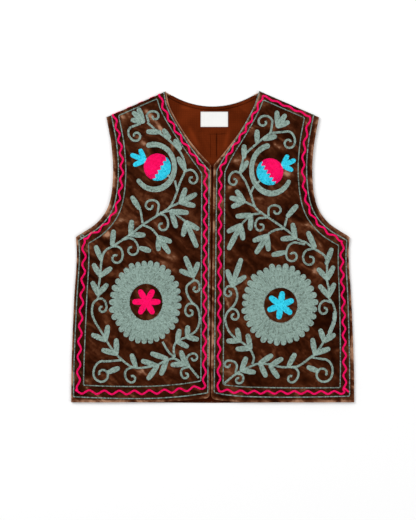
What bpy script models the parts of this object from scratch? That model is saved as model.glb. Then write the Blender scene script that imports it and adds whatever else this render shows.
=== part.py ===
"""Embroidered waistcoat, laid flat on a table with its fronts up. Metres, +Z up.

The origin is under the middle of the garment, on the table. +Y runs from the hem to the neck
and +X to the wearer's left, so the left front lies at +X. From the table up come the velvet
back, its cotton lining with the neck facing, the label, and the two velvet fronts. The fronts
meet the back at the side seams. At the shoulders they fold over the edge and are seamed a
little way down the back.
"""

import bisect
import math
from collections import namedtuple

import bmesh
import bpy
from mathutils import Vector
from mathutils.geometry import intersect_line_sphere_2d

# Driving sizes
LENGTH = 0.5770  # neck point to hem
BACK_WALL = 0.0015
LINING_WALL = 0.0010
FRONT_WALL = 0.0020  # velvet on its own lining
LABEL_WALL = 0.0006
SEAM_GAP = 0.0003

# Heights of the layers above the table
LINING_FLOOR = BACK_WALL + SEAM_GAP
ON_LINING = LINING_FLOOR + LINING_WALL + SEAM_GAP
SIDE_SEAM_FLOOR = BACK_WALL + SEAM_GAP

# The front goes round the shoulder edge and comes back under by the turn.
SHOULDER_BEND = (ON_LINING - FRONT_WALL) / 2
SHOULDER_RADIUS = SHOULDER_BEND + FRONT_WALL
SHOULDER_TURN = 0.0100
BACK_SHOULDER_DROP = SHOULDER_TURN + SEAM_GAP


def table(columns, *rows):
    """Rows whose numbers are read by the names of their columns."""
    row_type = namedtuple("row_type", columns)
    return [row_type(*row) for row in rows]


# Half of the outline, measured from the centre line out and from the hem up. "at" is the
# place along the edge, 0 at its start and 1 at its end. The edge turns at a corner.
OUTER_EDGE = table(
    "at across up corner",
    (0.00, 0.2620, 0.0015, True),
    (0.14, 0.2610, 0.0780, False),
    (0.33, 0.2565, 0.1890, False),
    (0.47, 0.2515, 0.2720, False),
    (0.53, 0.2532, 0.3070, True),
    (0.60, 0.2137, 0.3335, False),
    (0.67, 0.1918, 0.3670, False),
    (0.76, 0.1843, 0.4200, False),
    (0.88, 0.1872, 0.4760, False),
    (1.00, 0.1965, 0.5290, True),
)
UNDERARM = OUTER_EDGE[4].at

# The fronts meet a little to the right of the centre line, and each hem lifts towards them.
LEFT_CENTRE_EDGE = table(
    "at across up corner",
    (0.00, -0.0030, 0.0080, True),
    (0.76, 0.0020, 0.4400, True),
    (0.84, 0.0265, 0.4700, False),
    (0.90, 0.0530, 0.5060, False),
    (0.95, 0.0755, 0.5460, False),
    (1.00, 0.0865, 0.5770, True),
)
RIGHT_CENTRE_EDGE = table(
    "at across up corner",
    (0.00, 0.0059, 0.0095, True),
    (0.76, 0.0033, 0.4400, True),
    (0.84, 0.0300, 0.4690, False),
    (0.90, 0.0560, 0.5050, False),
    (0.95, 0.0790, 0.5460, False),
    (1.00, 0.0865, 0.5770, True),
)
LEFT_HEM = table(
    "at across up corner",
    (0.00, -0.0030, 0.0080, True),
    (0.10, 0.0225, 0.0042, False),
    (0.30, 0.0700, 0.0018, False),
    (1.00, 0.2620, 0.0015, True),
)
RIGHT_HEM = table(
    "at across up corner",
    (0.00, 0.0059, 0.0095, True),
    (0.22, 0.0600, 0.0045, False),
    (0.45, 0.1200, 0.0020, False),
    (1.00, 0.2620, 0.0015, True),
)
NECK_BREAK = LEFT_CENTRE_EDGE[1].at
NECK_SCOOP = 0.0280  # depth of the back neckline at its centre
FRONT_CORNER_RADIUS = 0.0065  # at the foot of the centre front

# The lining is drawn in from the edge of the back, and the facing fills its place at the neck.
NO_SETBACK = {"side": 0.0, "armhole": 0.0, "hem": 0.0, "neck": 0.0}
FACING_WIDTH = 0.0060
FACING_SETBACK = 0.0010
LINING_SETBACK = {
    "side": 0.0080,
    "armhole": 0.0020,
    "hem": 0.0025,
    "neck": FACING_SETBACK + FACING_WIDTH + SEAM_GAP,
}
LABEL_WIDTH = 0.0505
LABEL_HEIGHT = 0.0280
LABEL_CENTRE = 0.0030
LABEL_TOP = 0.0100  # below the back neckline
LABEL_BOW = 0.0004

# The fronts belly up between their edges, and each fold is a soft ridge along a line.
BELLY_RISE = 0.0020
BELLY_REACH = 0.0600
EDGE_REACH = 0.0200
SIDE_DROP_REACH = 0.0080
LEFT_FOLDS = table(
    "across up to_across to_up half_width rise",
    (0.088, 0.545, 0.140, 0.505, 0.010, 0.0016),
    (0.060, 0.455, 0.105, 0.400, 0.012, 0.0014),
    (0.235, 0.285, 0.150, 0.235, 0.014, 0.0018),
    (0.150, 0.340, 0.200, 0.300, 0.011, 0.0012),
    (0.040, 0.250, 0.110, 0.265, 0.014, 0.0012),
    (0.235, 0.150, 0.210, 0.050, 0.013, 0.0015),
    (0.050, 0.075, 0.120, 0.050, 0.013, 0.0013),
)
RIGHT_FOLDS = table(
    "across up to_across to_up half_width rise",
    (0.135, 0.550, 0.098, 0.500, 0.010, 0.0018),
    (0.165, 0.525, 0.130, 0.470, 0.011, 0.0014),
    (0.230, 0.290, 0.165, 0.262, 0.014, 0.0018),
    (0.110, 0.345, 0.175, 0.322, 0.012, 0.0013),
    (0.030, 0.305, 0.075, 0.240, 0.013, 0.0012),
    (0.240, 0.120, 0.215, 0.035, 0.013, 0.0015),
    (0.035, 0.110, 0.095, 0.085, 0.013, 0.0013),
)

CUTS = table(
    "side centre hem folds",
    (1, LEFT_CENTRE_EDGE, LEFT_HEM, LEFT_FOLDS),
    (-1, RIGHT_CENTRE_EDGE, RIGHT_HEM, RIGHT_FOLDS),
)
LEFT_CUT, RIGHT_CUT = CUTS

# The box pleat down the middle of the lining ends above the point of the neck.
PLEAT_CENTRE = 0.0015
PLEAT_HALF_WIDTH = 0.0055
PLEAT_RISE = 0.0010
PLEAT_TOP = 0.5050
PLEAT_FOOT = 0.4480
PLEAT_FADE = 0.0150

# Mesh steps
FRONT_COLUMNS = 24
FRONT_ROWS = 40
NECK_COLUMNS = 8
SHOULDER_COLUMNS = 6
BACK_ROWS = 26
BEND_STEPS = 6

# Colours, linear
VELVET = (0.055, 0.018, 0.008)
COTTON = (0.118, 0.019, 0.006)
WHITE_TAPE = (0.72, 0.72, 0.69)


def clear_scene():
    for leftover in list(bpy.data.objects):
        bpy.data.objects.remove(leftover)


def ease(t):
    t = min(max(t, 0.0), 1.0)
    return t * t * (3 - 2 * t)


def along(edge, at):
    """The place on an edge at a share from 0 to 1, smooth except at the edge's corners."""
    i = min(max(bisect.bisect_right([row.at for row in edge], at) - 1, 0), len(edge) - 2)
    start, end = edge[i], edge[i + 1]
    before = start if start.corner else edge[i - 1]
    after = end if end.corner else edge[i + 2]
    span = end.at - start.at
    t = (at - start.at) / span

    def hermite(from_value, to_value, leave, arrive):
        return (
            (2 * t**3 - 3 * t**2 + 1) * from_value
            + (t**3 - 2 * t**2 + t) * span * leave
            + (3 * t**2 - 2 * t**3) * to_value
            + (t**3 - t**2) * span * arrive
        )

    leave_time, arrive_time = end.at - before.at, after.at - start.at
    return Vector(
        (
            hermite(
                start.across,
                end.across,
                (end.across - before.across) / leave_time,
                (after.across - start.across) / arrive_time,
            ),
            hermite(
                start.up,
                end.up,
                (end.up - before.up) / leave_time,
                (after.up - start.up) / arrive_time,
            ),
        )
    )


def patch(bottom, top, left, right, u, v):
    """A point of the patch that fills four edges. u runs from left to right and v up."""
    ruled = bottom(u) * (1 - v) + top(u) * v + left(v) * (1 - u) + right(v) * u
    low = bottom(0).lerp(bottom(1), u)
    high = top(0).lerp(top(1), u)
    return ruled - low.lerp(high, v)


def shares(count, *fixed):
    """Shares from 0 to 1 in even steps, with the fixed ones put in for their near neighbours."""
    even = [i / count for i in range(count + 1)]
    kept = {share for share in even if all(abs(share - f) > 0.45 / count for f in fixed)}
    return sorted(kept | set(fixed) | {0.0, 1.0})


NECK_POINT = along(LEFT_CENTRE_EDGE, 1)
SHOULDER_TIP = along(OUTER_EDGE, 1)
SHOULDER_RUN = (NECK_POINT - SHOULDER_TIP).normalized()
SHOULDER_DOWN = Vector((SHOULDER_RUN.y, -SHOULDER_RUN.x))
if SHOULDER_DOWN.y > 0:
    SHOULDER_DOWN.negate()


def below_shoulder(place):
    return (place - SHOULDER_TIP).dot(SHOULDER_DOWN)


def place_below_shoulder(edge, drop):
    """How far along an edge it passes a line that lies a drop below the shoulder."""
    low, high = edge[-2].at, 1.0
    for _ in range(30):
        middle = (low + high) / 2
        if below_shoulder(along(edge, middle)) > drop:
            low = middle
        else:
            high = middle
    return low


BACK_SIDE_END = place_below_shoulder(OUTER_EDGE, BACK_SHOULDER_DROP)
FRONT_OUTER_END = place_below_shoulder(OUTER_EDGE, SHOULDER_RADIUS)


def neckline(across, setback):
    """The back neckline, an arc through both neck points, drawn in by the setback."""
    radius = (NECK_POINT.x**2 + NECK_SCOOP**2) / (2 * NECK_SCOOP)
    centre = NECK_POINT.y - NECK_SCOOP + radius
    inner = radius + setback
    return Vector((across, centre - math.sqrt(inner**2 - across**2)))


def neck_end(setback):
    """Where the drawn-in neckline meets the shoulder seam of the back."""
    radius = (NECK_POINT.x**2 + NECK_SCOOP**2) / (2 * NECK_SCOOP)
    centre = Vector((0.0, NECK_POINT.y - NECK_SCOOP + radius))
    seam = SHOULDER_TIP + SHOULDER_DOWN * BACK_SHOULDER_DROP
    beyond = seam + SHOULDER_RUN * 0.3
    hits = intersect_line_sphere_2d(seam, beyond, centre, radius + setback)
    return min((hit for hit in hits if hit), key=lambda hit: (hit - seam).length)


def segment_distance(point, start, end):
    """Distance from a point to a straight line, and how far along the line its foot lies."""
    run = end - start
    share = min(max((point - start).dot(run) / run.length_squared, 0.0), 1.0)
    return (point - start - run * share).length, share


def fold_rise(folds, place):
    """Height that the soft folds add at a place on a front."""
    rise = 0.0
    for fold in folds:
        start, end = Vector((fold.across, fold.up)), Vector((fold.to_across, fold.to_up))
        away, share = segment_distance(place, start, end)
        taper = 0.3 + 0.7 * ease(4 * share) * ease(4 * (1 - share))
        rise += fold.rise * taper * math.exp(-((away / fold.half_width) ** 2))
    return rise


def round_corner(offset, radius):
    """How a place near a corner moves to round it. The offset is the place's depth from both edges."""
    inward = Vector((radius - offset.x, radius - offset.y))
    if min(inward) <= 0:
        return Vector((0, 0))
    return Vector((radius, radius)) - inward.normalized() * max(inward) - offset


def cloth_material(name, colour, roughness, sheen):
    material = bpy.data.materials.new(name)
    material.use_nodes = True
    shader = material.node_tree.nodes["Principled BSDF"]
    shader.inputs["Base Color"].default_value = (*colour, 1)
    shader.inputs["Roughness"].default_value = roughness
    shader.inputs["Metallic"].default_value = 0.0
    shader.inputs["Sheen Weight"].default_value = sheen
    return material


def cloth_panel(name, columns, rows, underside, material):
    """A grid of cloth whose inner face lies at underside(u, v), with its normals up."""
    shape = bmesh.new()
    last_column, last_row = len(columns) - 1, len(rows) - 1
    bmesh.ops.create_grid(shape, x_segments=last_column, y_segments=last_row, size=1.0)
    for vertex in shape.verts:
        column = round((vertex.co.x + 1) / 2 * last_column)
        row = round((vertex.co.y + 1) / 2 * last_row)
        vertex.co = underside(columns[column], rows[row])
    bmesh.ops.recalc_face_normals(shape, faces=shape.faces)
    if sum(face.normal.z for face in shape.faces) < 0:
        bmesh.ops.reverse_faces(shape, faces=shape.faces)
    mesh = bpy.data.meshes.new(name)
    shape.to_mesh(mesh)
    shape.free()
    mesh.shade_smooth()
    mesh.materials.append(material)
    panel = bpy.data.objects.new(name, mesh)
    waistcoat.objects.link(panel)
    return panel


def mirror_half(panel):
    halves = panel.modifiers.new("mirror at the centre line", "MIRROR")
    halves.merge_threshold = 0.0001
    halves.use_clip = True


def thicken(panel, wall):
    """Gives a panel its wall, laid on the outside of its inner face."""
    solid = panel.modifiers.new("wall", "SOLIDIFY")
    solid.thickness = wall
    solid.offset = 1.0


def on_table(place, height):
    """The world point over a place that is measured from the centre line and the hem."""
    return Vector((place.x, place.y - LENGTH / 2, height))


def back_place(u, v, setback):
    """Flat place on the half back, u from the centre line out and v from the hem up."""
    turn = neck_end(setback["neck"])
    neck_share = turn.x / SHOULDER_TIP.x

    def side(share):
        place = along(OUTER_EDGE, share * BACK_SIDE_END)
        under_arm = ease((share * BACK_SIDE_END - UNDERARM) / 0.08)
        place.x -= setback["side"] * (1 - under_arm) + setback["armhole"] * under_arm
        place.y += setback["hem"] * (1 - share)
        return place

    def top(share):
        if share <= neck_share:
            return neckline(turn.x * share / neck_share, setback["neck"])
        return turn.lerp(side(1), (share - neck_share) / (1 - neck_share))

    def hem(share):
        return Vector((0, setback["hem"])).lerp(side(0), share)

    def centre(share):
        return hem(0).lerp(top(0), share)

    return patch(hem, top, centre, side, u, v)


def back_shares(setback):
    """Columns and rows of the half back: even steps under the neck and beside it, a row at the arm."""
    neck_share = neck_end(setback["neck"]).x / SHOULDER_TIP.x
    under_neck = [neck_share * share for share in shares(NECK_COLUMNS)]
    beside_neck = [neck_share + (1 - neck_share) * share for share in shares(SHOULDER_COLUMNS)]
    return under_neck + beside_neck[1:], shares(BACK_ROWS, UNDERARM / BACK_SIDE_END)


def back_panel(velvet):
    """Velvet back, flat on the table."""
    columns, rows = back_shares(NO_SETBACK)
    panel = cloth_panel(
        "back_panel",
        columns,
        rows,
        lambda u, v: on_table(back_place(u, v, NO_SETBACK), 0.0),
        velvet,
    )
    mirror_half(panel)
    thicken(panel, BACK_WALL)


def pleat_rise(point):
    """The box pleat stands a little over the lining and dies out at both ends."""
    up = point.y + LENGTH / 2
    aside = abs(point.x - PLEAT_CENTRE)
    ends = ease((PLEAT_TOP - up) / PLEAT_FADE) * ease((up - PLEAT_FOOT) / PLEAT_FADE)
    return PLEAT_RISE * ends * (1 - ease(aside / PLEAT_HALF_WIDTH - 0.5))


def back_lining(cotton):
    """Cotton lining of the back, seen in the neck and between the fronts."""
    half_columns, rows = back_shares(LINING_SETBACK)
    pleat_columns = [
        (PLEAT_CENTRE + offset * PLEAT_HALF_WIDTH) / SHOULDER_TIP.x for offset in (-1.5, -0.5, 0.5, 1.5)
    ]
    mirrored = [-share for share in half_columns[1:]]
    columns = sorted(set(half_columns + mirrored) | set(pleat_columns))

    def underside(u, v):
        point = on_table(back_place(abs(u), v, LINING_SETBACK), LINING_FLOOR)
        point.x = math.copysign(point.x, u)
        point.z += pleat_rise(point)
        return point

    lining = cloth_panel("back_lining", columns, rows, underside, cotton)
    thicken(lining, LINING_WALL)


def back_neck_facing(cotton):
    """Narrow facing that finishes the back neckline on the inside."""

    def underside(u, v):
        end = neck_end(FACING_SETBACK + FACING_WIDTH * (1 - v))
        place = neckline(end.x * u, FACING_SETBACK + FACING_WIDTH * (1 - v))
        return on_table(place, LINING_FLOOR)

    facing = cloth_panel("back_neck_facing", shares(NECK_COLUMNS), [0.0, 0.5, 1.0], underside, cotton)
    mirror_half(facing)
    thicken(facing, LINING_WALL)


def neck_label(tape):
    """Plain woven label on the lining under the back neckline."""
    top = NECK_POINT.y - NECK_SCOOP - LABEL_TOP

    def underside(u, v):
        place = Vector((LABEL_CENTRE + (u - 0.5) * LABEL_WIDTH, top - (1 - v) * LABEL_HEIGHT))
        bow = LABEL_BOW * math.sin(math.pi * u) * math.sin(math.pi * v)
        return on_table(place, ON_LINING + bow)

    label = cloth_panel("neck_label", shares(4), shares(2), underside, tape)
    thicken(label, LABEL_WALL)


def front_place(cut, u, v):
    """Flat place on a front, u from the centre edge out and v from the hem to the shoulder bend."""
    centre_end = place_below_shoulder(cut.centre, SHOULDER_RADIUS)

    def outer(share):
        return along(OUTER_EDGE, share * FRONT_OUTER_END)

    def centre(share):
        return along(cut.centre, share * centre_end)

    def hem(share):
        return along(cut.hem, share)

    def shoulder(share):
        return centre(1).lerp(outer(1), share)

    place = patch(hem, shoulder, centre, outer, u, v)
    offset = Vector((place.x - centre(v).x, place.y - hem(u).y))
    return place + round_corner(offset, FRONT_CORNER_RADIUS)


def front_height(cut, u, v):
    """Height of a front's inner face: down on the back at the side seam, bellied inside it."""
    place = front_place(cut, u, v)
    from_side = (front_place(cut, 1, v) - place).length
    from_centre = (place - front_place(cut, 0, v)).length
    from_shoulder = below_shoulder(place) - SHOULDER_RADIUS

    def inside(reach):
        sides = ease(from_side / reach) * ease(from_centre / reach)
        return sides * ease(place.y / reach) * ease(from_shoulder / reach)

    side_seam = (1 - ease(from_side / SIDE_DROP_REACH)) * ease((UNDERARM - v) / 0.02)
    return (
        ON_LINING
        + BELLY_RISE * inside(BELLY_REACH)
        + fold_rise(cut.folds, place) * inside(EDGE_REACH)
        - (ON_LINING - SIDE_SEAM_FLOOR) * side_seam
    )


def front_panel(name, cut, velvet):
    """One velvet front. Rows past 1 go round the shoulder bend, and the last lies on the table."""
    neck_lean = (neck_end(0) - NECK_POINT - SHOULDER_DOWN * BACK_SHOULDER_DROP).dot(SHOULDER_RUN)
    bend_rows = [1 + step / BEND_STEPS for step in range(1, BEND_STEPS + 1)]

    def underside(u, v):
        place = front_place(cut, u, min(v, 1.0))
        height = front_height(cut, u, min(v, 1.0))
        if v > 1.0:
            angle = min(v - 1.0, 1.0) * math.pi
            turned_back = max(v - 2.0, 0.0) * (SHOULDER_TURN - SHOULDER_RADIUS)
            place -= SHOULDER_DOWN * (SHOULDER_BEND * math.sin(angle) - turned_back)
            place += SHOULDER_RUN * neck_lean * max(v - 2.0, 0.0) * (1 - u)
            height -= SHOULDER_BEND * (1 - math.cos(angle))
        point = on_table(place, height)
        point.x *= cut.side
        return point

    rows = shares(FRONT_ROWS, 0.008, UNDERARM, NECK_BREAK) + bend_rows + [3.0]
    panel = cloth_panel(name, shares(FRONT_COLUMNS, 0.012, 0.97), rows, underside, velvet)
    thicken(panel, FRONT_WALL)


clear_scene()
waistcoat = bpy.data.collections.new("embroidered_waistcoat")


def main():
    bpy.context.scene.collection.children.link(waistcoat)
    velvet = cloth_material("velvet", VELVET, 0.75, 0.6)
    cotton = cloth_material("cotton", COTTON, 0.9, 0.1)
    tape = cloth_material("white_tape", WHITE_TAPE, 0.85, 0.0)
    back_panel(velvet)
    back_lining(cotton)
    back_neck_facing(cotton)
    neck_label(tape)
    front_panel("front_panel_left", LEFT_CUT, velvet)
    front_panel("front_panel_right", RIGHT_CUT, velvet)


main()
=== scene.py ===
"""The looks of an embroidered waistcoat: crushed velvet, cotton, tape and chain stitch.

Metres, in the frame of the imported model: +X to the wearer's left, +Y from hem to neck, +Z up.
"""

import math
from collections import namedtuple
from functools import lru_cache

import bmesh
import bpy
import numpy as np
from mathutils import Matrix, Vector, kdtree, noise
from mathutils.bvhtree import BVHTree


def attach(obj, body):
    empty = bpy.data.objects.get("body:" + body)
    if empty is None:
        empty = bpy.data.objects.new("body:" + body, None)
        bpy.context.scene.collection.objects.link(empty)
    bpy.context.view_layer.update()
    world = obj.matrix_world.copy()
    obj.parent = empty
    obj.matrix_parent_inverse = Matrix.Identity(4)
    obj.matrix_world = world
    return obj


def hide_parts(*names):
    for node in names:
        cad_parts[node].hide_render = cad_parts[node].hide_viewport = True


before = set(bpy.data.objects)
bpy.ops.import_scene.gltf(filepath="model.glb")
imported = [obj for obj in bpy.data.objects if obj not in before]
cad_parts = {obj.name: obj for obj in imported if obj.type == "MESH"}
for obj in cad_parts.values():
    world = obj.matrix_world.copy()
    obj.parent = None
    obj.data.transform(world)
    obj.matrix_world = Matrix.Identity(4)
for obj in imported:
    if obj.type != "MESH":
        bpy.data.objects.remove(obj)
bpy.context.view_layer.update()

# The waistcoat is photographed from straight above, a little to one side of its centre line.
# It lies on a pale table top, under two broad soft lamps and the light of a white room.
CAMERA_PLACE = (-0.0087, -0.0239, 2.677)
CAMERA_LENS = 100.0
TABLE_HALF = 3.0
TABLE_COLOUR = (0.90, 0.90, 0.90, 1)
ROOM_LIGHT = 0.62
LAMPS = (
    ("key_lamp", (-1.5, 1.3, 2.1), 1.3, 46.0),
    ("fill_lamp", (1.7, -0.9, 2.3), 1.8, 22.0),
)

scene = bpy.context.scene
scene.view_settings.view_transform = "Standard"
camera = bpy.data.objects.new("camera", bpy.data.cameras.new("camera"))
camera.data.lens = CAMERA_LENS
camera.location = CAMERA_PLACE
scene.collection.objects.link(camera)
scene.camera = camera

room = bpy.data.worlds.new("room")
room.use_nodes = True
room.node_tree.nodes["Background"].inputs["Color"].default_value = (1.0, 1.0, 1.0, 1)
room.node_tree.nodes["Background"].inputs["Strength"].default_value = ROOM_LIGHT
scene.world = room

for lamp_name, lamp_place, lamp_size, lamp_power in LAMPS:
    lamp = bpy.data.objects.new(lamp_name, bpy.data.lights.new(lamp_name, "AREA"))
    lamp.data.size = lamp_size
    lamp.data.energy = lamp_power
    lamp.location = lamp_place
    lamp.rotation_euler = (-Vector(lamp_place)).to_track_quat("-Z", "Y").to_euler()
    scene.collection.objects.link(lamp)

table_shape = bmesh.new()
bmesh.ops.create_grid(table_shape, x_segments=1, y_segments=1, size=TABLE_HALF)
bmesh.ops.translate(table_shape, verts=table_shape.verts, vec=(0, 0, -0.0004))
table_top = bpy.data.objects.new("table_top", bpy.data.meshes.new("table_top"))
table_shape.to_mesh(table_top.data)
table_shape.free()
table_paint = bpy.data.materials.new("table_paint")
table_paint.use_nodes = True
table_paint.node_tree.nodes["Principled BSDF"].inputs["Base Color"].default_value = TABLE_COLOUR
table_paint.node_tree.nodes["Principled BSDF"].inputs["Roughness"].default_value = 0.9
table_top.data.materials.append(table_paint)
scene.collection.objects.link(table_top)

# The back is one panel of dark brown cotton velvet, cut on the fold, face down on the table.
# Only its turned edges show from above, at the hem, the armholes and the back of the neck.
LENGTH = 0.5770
BACK_WALL = 0.0015
LINING_WALL = 0.0010
FRONT_WALL = 0.0020
SEAM_GAP = 0.0003
LINING_FLOOR = BACK_WALL + SEAM_GAP
ON_LINING = LINING_FLOOR + LINING_WALL + SEAM_GAP
SHOULDER_BEND = (ON_LINING - FRONT_WALL) / 2
SHOULDER_RADIUS = SHOULDER_BEND + FRONT_WALL
SHOULDER_TURN = 0.0100
BACK_SHOULDER_DROP = SHOULDER_TURN + SEAM_GAP
NECK_SCOOP = 0.0280


def table(columns, *rows):
    """Rows whose numbers are read by the names of their columns."""
    row_type = namedtuple("row_type", columns)
    return [row_type(*row) for row in rows]


EDGE_COLUMNS = "at across up corner"
OUTER_EDGE = table(
    EDGE_COLUMNS,
    (0.00, 0.2620, 0.0015, True),
    (0.14, 0.2610, 0.0780, False),
    (0.33, 0.2565, 0.1890, False),
    (0.47, 0.2515, 0.2720, False),
    (0.53, 0.2532, 0.3070, True),
    (0.60, 0.2137, 0.3335, False),
    (0.67, 0.1918, 0.3670, False),
    (0.76, 0.1843, 0.4200, False),
    (0.88, 0.1872, 0.4760, False),
    (1.00, 0.1965, 0.5290, True),
)
UNDERARM = OUTER_EDGE[4].at


def ease(t):
    t = min(max(t, 0.0), 1.0)
    return t * t * (3 - 2 * t)


def along(edge, at):
    """The place on an edge at a share from 0 to 1, smooth except at the edge's corners."""
    i = 0
    while i < len(edge) - 2 and at >= edge[i + 1].at:
        i += 1
    start, end = edge[i], edge[i + 1]
    before = start if start.corner else edge[i - 1]
    after = end if end.corner else edge[i + 2]
    span = end.at - start.at
    t = (at - start.at) / span
    weights = (2 * t**3 - 3 * t**2 + 1, 3 * t**2 - 2 * t**3, t**3 - 2 * t**2 + t, t**3 - t**2)
    leave = span / (end.at - before.at)
    arrive = span / (after.at - start.at)
    place = []
    for k in (1, 2):
        slopes = (leave * (end[k] - before[k]), arrive * (after[k] - start[k]))
        place.append(sum(w * x for w, x in zip(weights, (start[k], end[k], *slopes))))
    return Vector(place)


def patch(bottom, top, left, right, u, v):
    """A point of the patch that fills four edges. u runs from left to right and v up."""
    ruled = bottom(u) * (1 - v) + top(u) * v + left(v) * (1 - u) + right(v) * u
    low = bottom(0).lerp(bottom(1), u)
    high = top(0).lerp(top(1), u)
    return ruled - low.lerp(high, v)


NECK_POINT = Vector((0.0865, 0.5770))
SHOULDER_TIP = along(OUTER_EDGE, 1)
SHOULDER_RUN = (NECK_POINT - SHOULDER_TIP).normalized()
SHOULDER_DOWN = Vector((-SHOULDER_RUN.y, SHOULDER_RUN.x))


def below_shoulder(place):
    return (place - SHOULDER_TIP).dot(SHOULDER_DOWN)


def place_below_shoulder(edge, drop):
    """How far along an edge it passes a line that lies a drop below the shoulder."""
    low, high = edge[-2].at, 1.0
    for _ in range(30):
        middle = (low + high) / 2
        if below_shoulder(along(edge, middle)) > drop:
            low = middle
        else:
            high = middle
    return low


BACK_SIDE_END = place_below_shoulder(OUTER_EDGE, BACK_SHOULDER_DROP)
NECK_RADIUS = (NECK_POINT.x**2 + NECK_SCOOP**2) / (2 * NECK_SCOOP)
NECK_ARC_CENTRE = Vector((0.0, NECK_POINT.y - NECK_SCOOP + NECK_RADIUS))


def neckline(across, setback):
    """The back neckline, an arc through both neck points, drawn in by the setback."""
    inner = NECK_RADIUS + setback
    return Vector((across, NECK_ARC_CENTRE.y - math.sqrt(inner**2 - across**2)))


def neck_end(setback):
    """Where the drawn-in neckline meets the shoulder seam of the back."""
    seam = SHOULDER_TIP + SHOULDER_DOWN * BACK_SHOULDER_DROP - NECK_ARC_CENTRE
    half = seam.dot(SHOULDER_RUN)
    reach = -half - math.sqrt(half**2 - seam.length_squared + (NECK_RADIUS + setback) ** 2)
    return NECK_ARC_CENTRE + seam + SHOULDER_RUN * reach


def back_place(u, v, side_in, armhole_in, hem_in, neck_in):
    """Flat place on the half back, u from the centre line out and v from the hem up."""
    turn = neck_end(neck_in)
    neck_share = turn.x / SHOULDER_TIP.x

    def side(share):
        place = along(OUTER_EDGE, share * BACK_SIDE_END)
        under_arm = ease((share * BACK_SIDE_END - UNDERARM) / 0.08)
        place.x -= side_in * (1 - under_arm) + armhole_in * under_arm
        place.y += hem_in * (1 - share)
        return place

    def top(share):
        if share <= neck_share:
            return neckline(turn.x * share / neck_share, neck_in)
        return turn.lerp(side(1), (share - neck_share) / (1 - neck_share))

    def hem(share):
        return Vector((0, hem_in)).lerp(side(0), share)

    def centre(share):
        return hem(0).lerp(top(0), share)

    return patch(hem, top, centre, side, u, v)


def spaced(count, *fine):
    """Shares from 0 to 1 in even steps, with fine ones added."""
    return sorted({i / count for i in range(count + 1)} | set(fine))


def laid_cloth(name, columns, rows, underside, wall, finish):
    """A panel of cloth on its underside(u, v), giving a point and its tone with painted light and
    shade.
    """
    shape = bmesh.new()
    last_column, last_row = len(columns) - 1, len(rows) - 1
    bmesh.ops.create_grid(shape, x_segments=last_column, y_segments=last_row, size=1.0)
    nap = shape.verts.layers.float.new("nap")
    for vertex in shape.verts:
        column = round((vertex.co.x + 1) / 2 * last_column)
        row = round((vertex.co.y + 1) / 2 * last_row)
        vertex.co, vertex[nap] = underside(columns[column], rows[row])
    bmesh.ops.recalc_face_normals(shape, faces=shape.faces)
    if sum(face.normal.z for face in shape.faces) < 0:
        bmesh.ops.reverse_faces(shape, faces=shape.faces)
    mesh = bpy.data.meshes.new(name)
    shape.to_mesh(mesh)
    shape.free()
    mesh.shade_smooth()
    mesh.materials.append(finish)
    panel = bpy.data.objects.new(name, mesh)
    scene.collection.objects.link(panel)
    solid = panel.modifiers.new("wall", "SOLIDIFY")
    solid.thickness = wall
    solid.offset = 1.0
    turned = panel.modifiers.new("turned edge", "BEVEL")
    turned.width = wall * 0.42
    turned.segments = 3
    turned.limit_method = "ANGLE"
    turned.angle_limit = math.radians(50)
    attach(panel, "root")
    return panel


class Wire:
    """A socket of a finish, so that maths on it reads as Python."""

    def __init__(self, finish, socket):
        self.finish = finish
        self.socket = socket

    def maths(self, operation, first, second):
        return self.finish.node("ShaderNodeMath", {"operation": operation}, {0: first, 1: second})

    def __add__(self, other):
        return self.maths("ADD", self, other)

    def __sub__(self, other):
        return self.maths("SUBTRACT", self, other)

    def __rsub__(self, other):
        return self.maths("SUBTRACT", other, self)

    def __mul__(self, other):
        return self.maths("MULTIPLY", self, other)

    __radd__ = __add__
    __rmul__ = __mul__


class Finish:
    """A material whose nodes are added one by one. Its constants sit on the shader's sockets."""

    def __init__(self, name, constants):
        self.material = bpy.data.materials.new(name)
        self.material.use_nodes = True
        self.tree = self.material.node_tree
        self.shader = self.tree.nodes["Principled BSDF"]
        for socket, value in constants.items():
            self.shader.inputs[socket].default_value = value

    def feed(self, socket, value):
        if isinstance(value, Wire):
            self.tree.links.new(value.socket, socket)
        else:
            socket.default_value = value

    def node(self, kind, settings, inputs, output=0):
        made = self.tree.nodes.new(kind)
        for key, value in settings.items():
            if key == "stops":
                ramp = made.color_ramp
                ramp.elements[0].position, ramp.elements[0].color = value[0]
                ramp.elements[1].position, ramp.elements[1].color = value[-1]
                for position, colour in value[1:-1]:
                    ramp.elements.new(position).color = colour
            else:
                setattr(made, key, value)
        for socket, value in inputs.items():
            self.feed(made.inputs[socket], value)
        return Wire(self, made.outputs[output])

    def place(self):
        return self.node("ShaderNodeTexCoord", {}, {}, "Object")

    def attribute(self, name):
        return self.node("ShaderNodeAttribute", {"attribute_name": name}, {}, "Fac")

    def noise(self, place, scale, detail=3.0, distortion=0.0):
        sizes = {"Vector": place, "Scale": scale, "Detail": detail, "Distortion": distortion}
        return self.node("ShaderNodeTexNoise", {}, sizes)

    def ramp(self, value, stops):
        return self.node("ShaderNodeValToRGB", {"stops": stops}, {"Fac": value})

    def bump(self, height, distance, strength=1.0):
        sizes = {"Height": height, "Distance": distance, "Strength": strength}
        return self.node("ShaderNodeBump", {}, sizes)

    def dress(self, **sockets):
        for name, value in sockets.items():
            self.feed(self.shader.inputs[name.replace("_", " ")], value)
        return self.material


# The palest stops give the pile its painted sheen.
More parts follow.
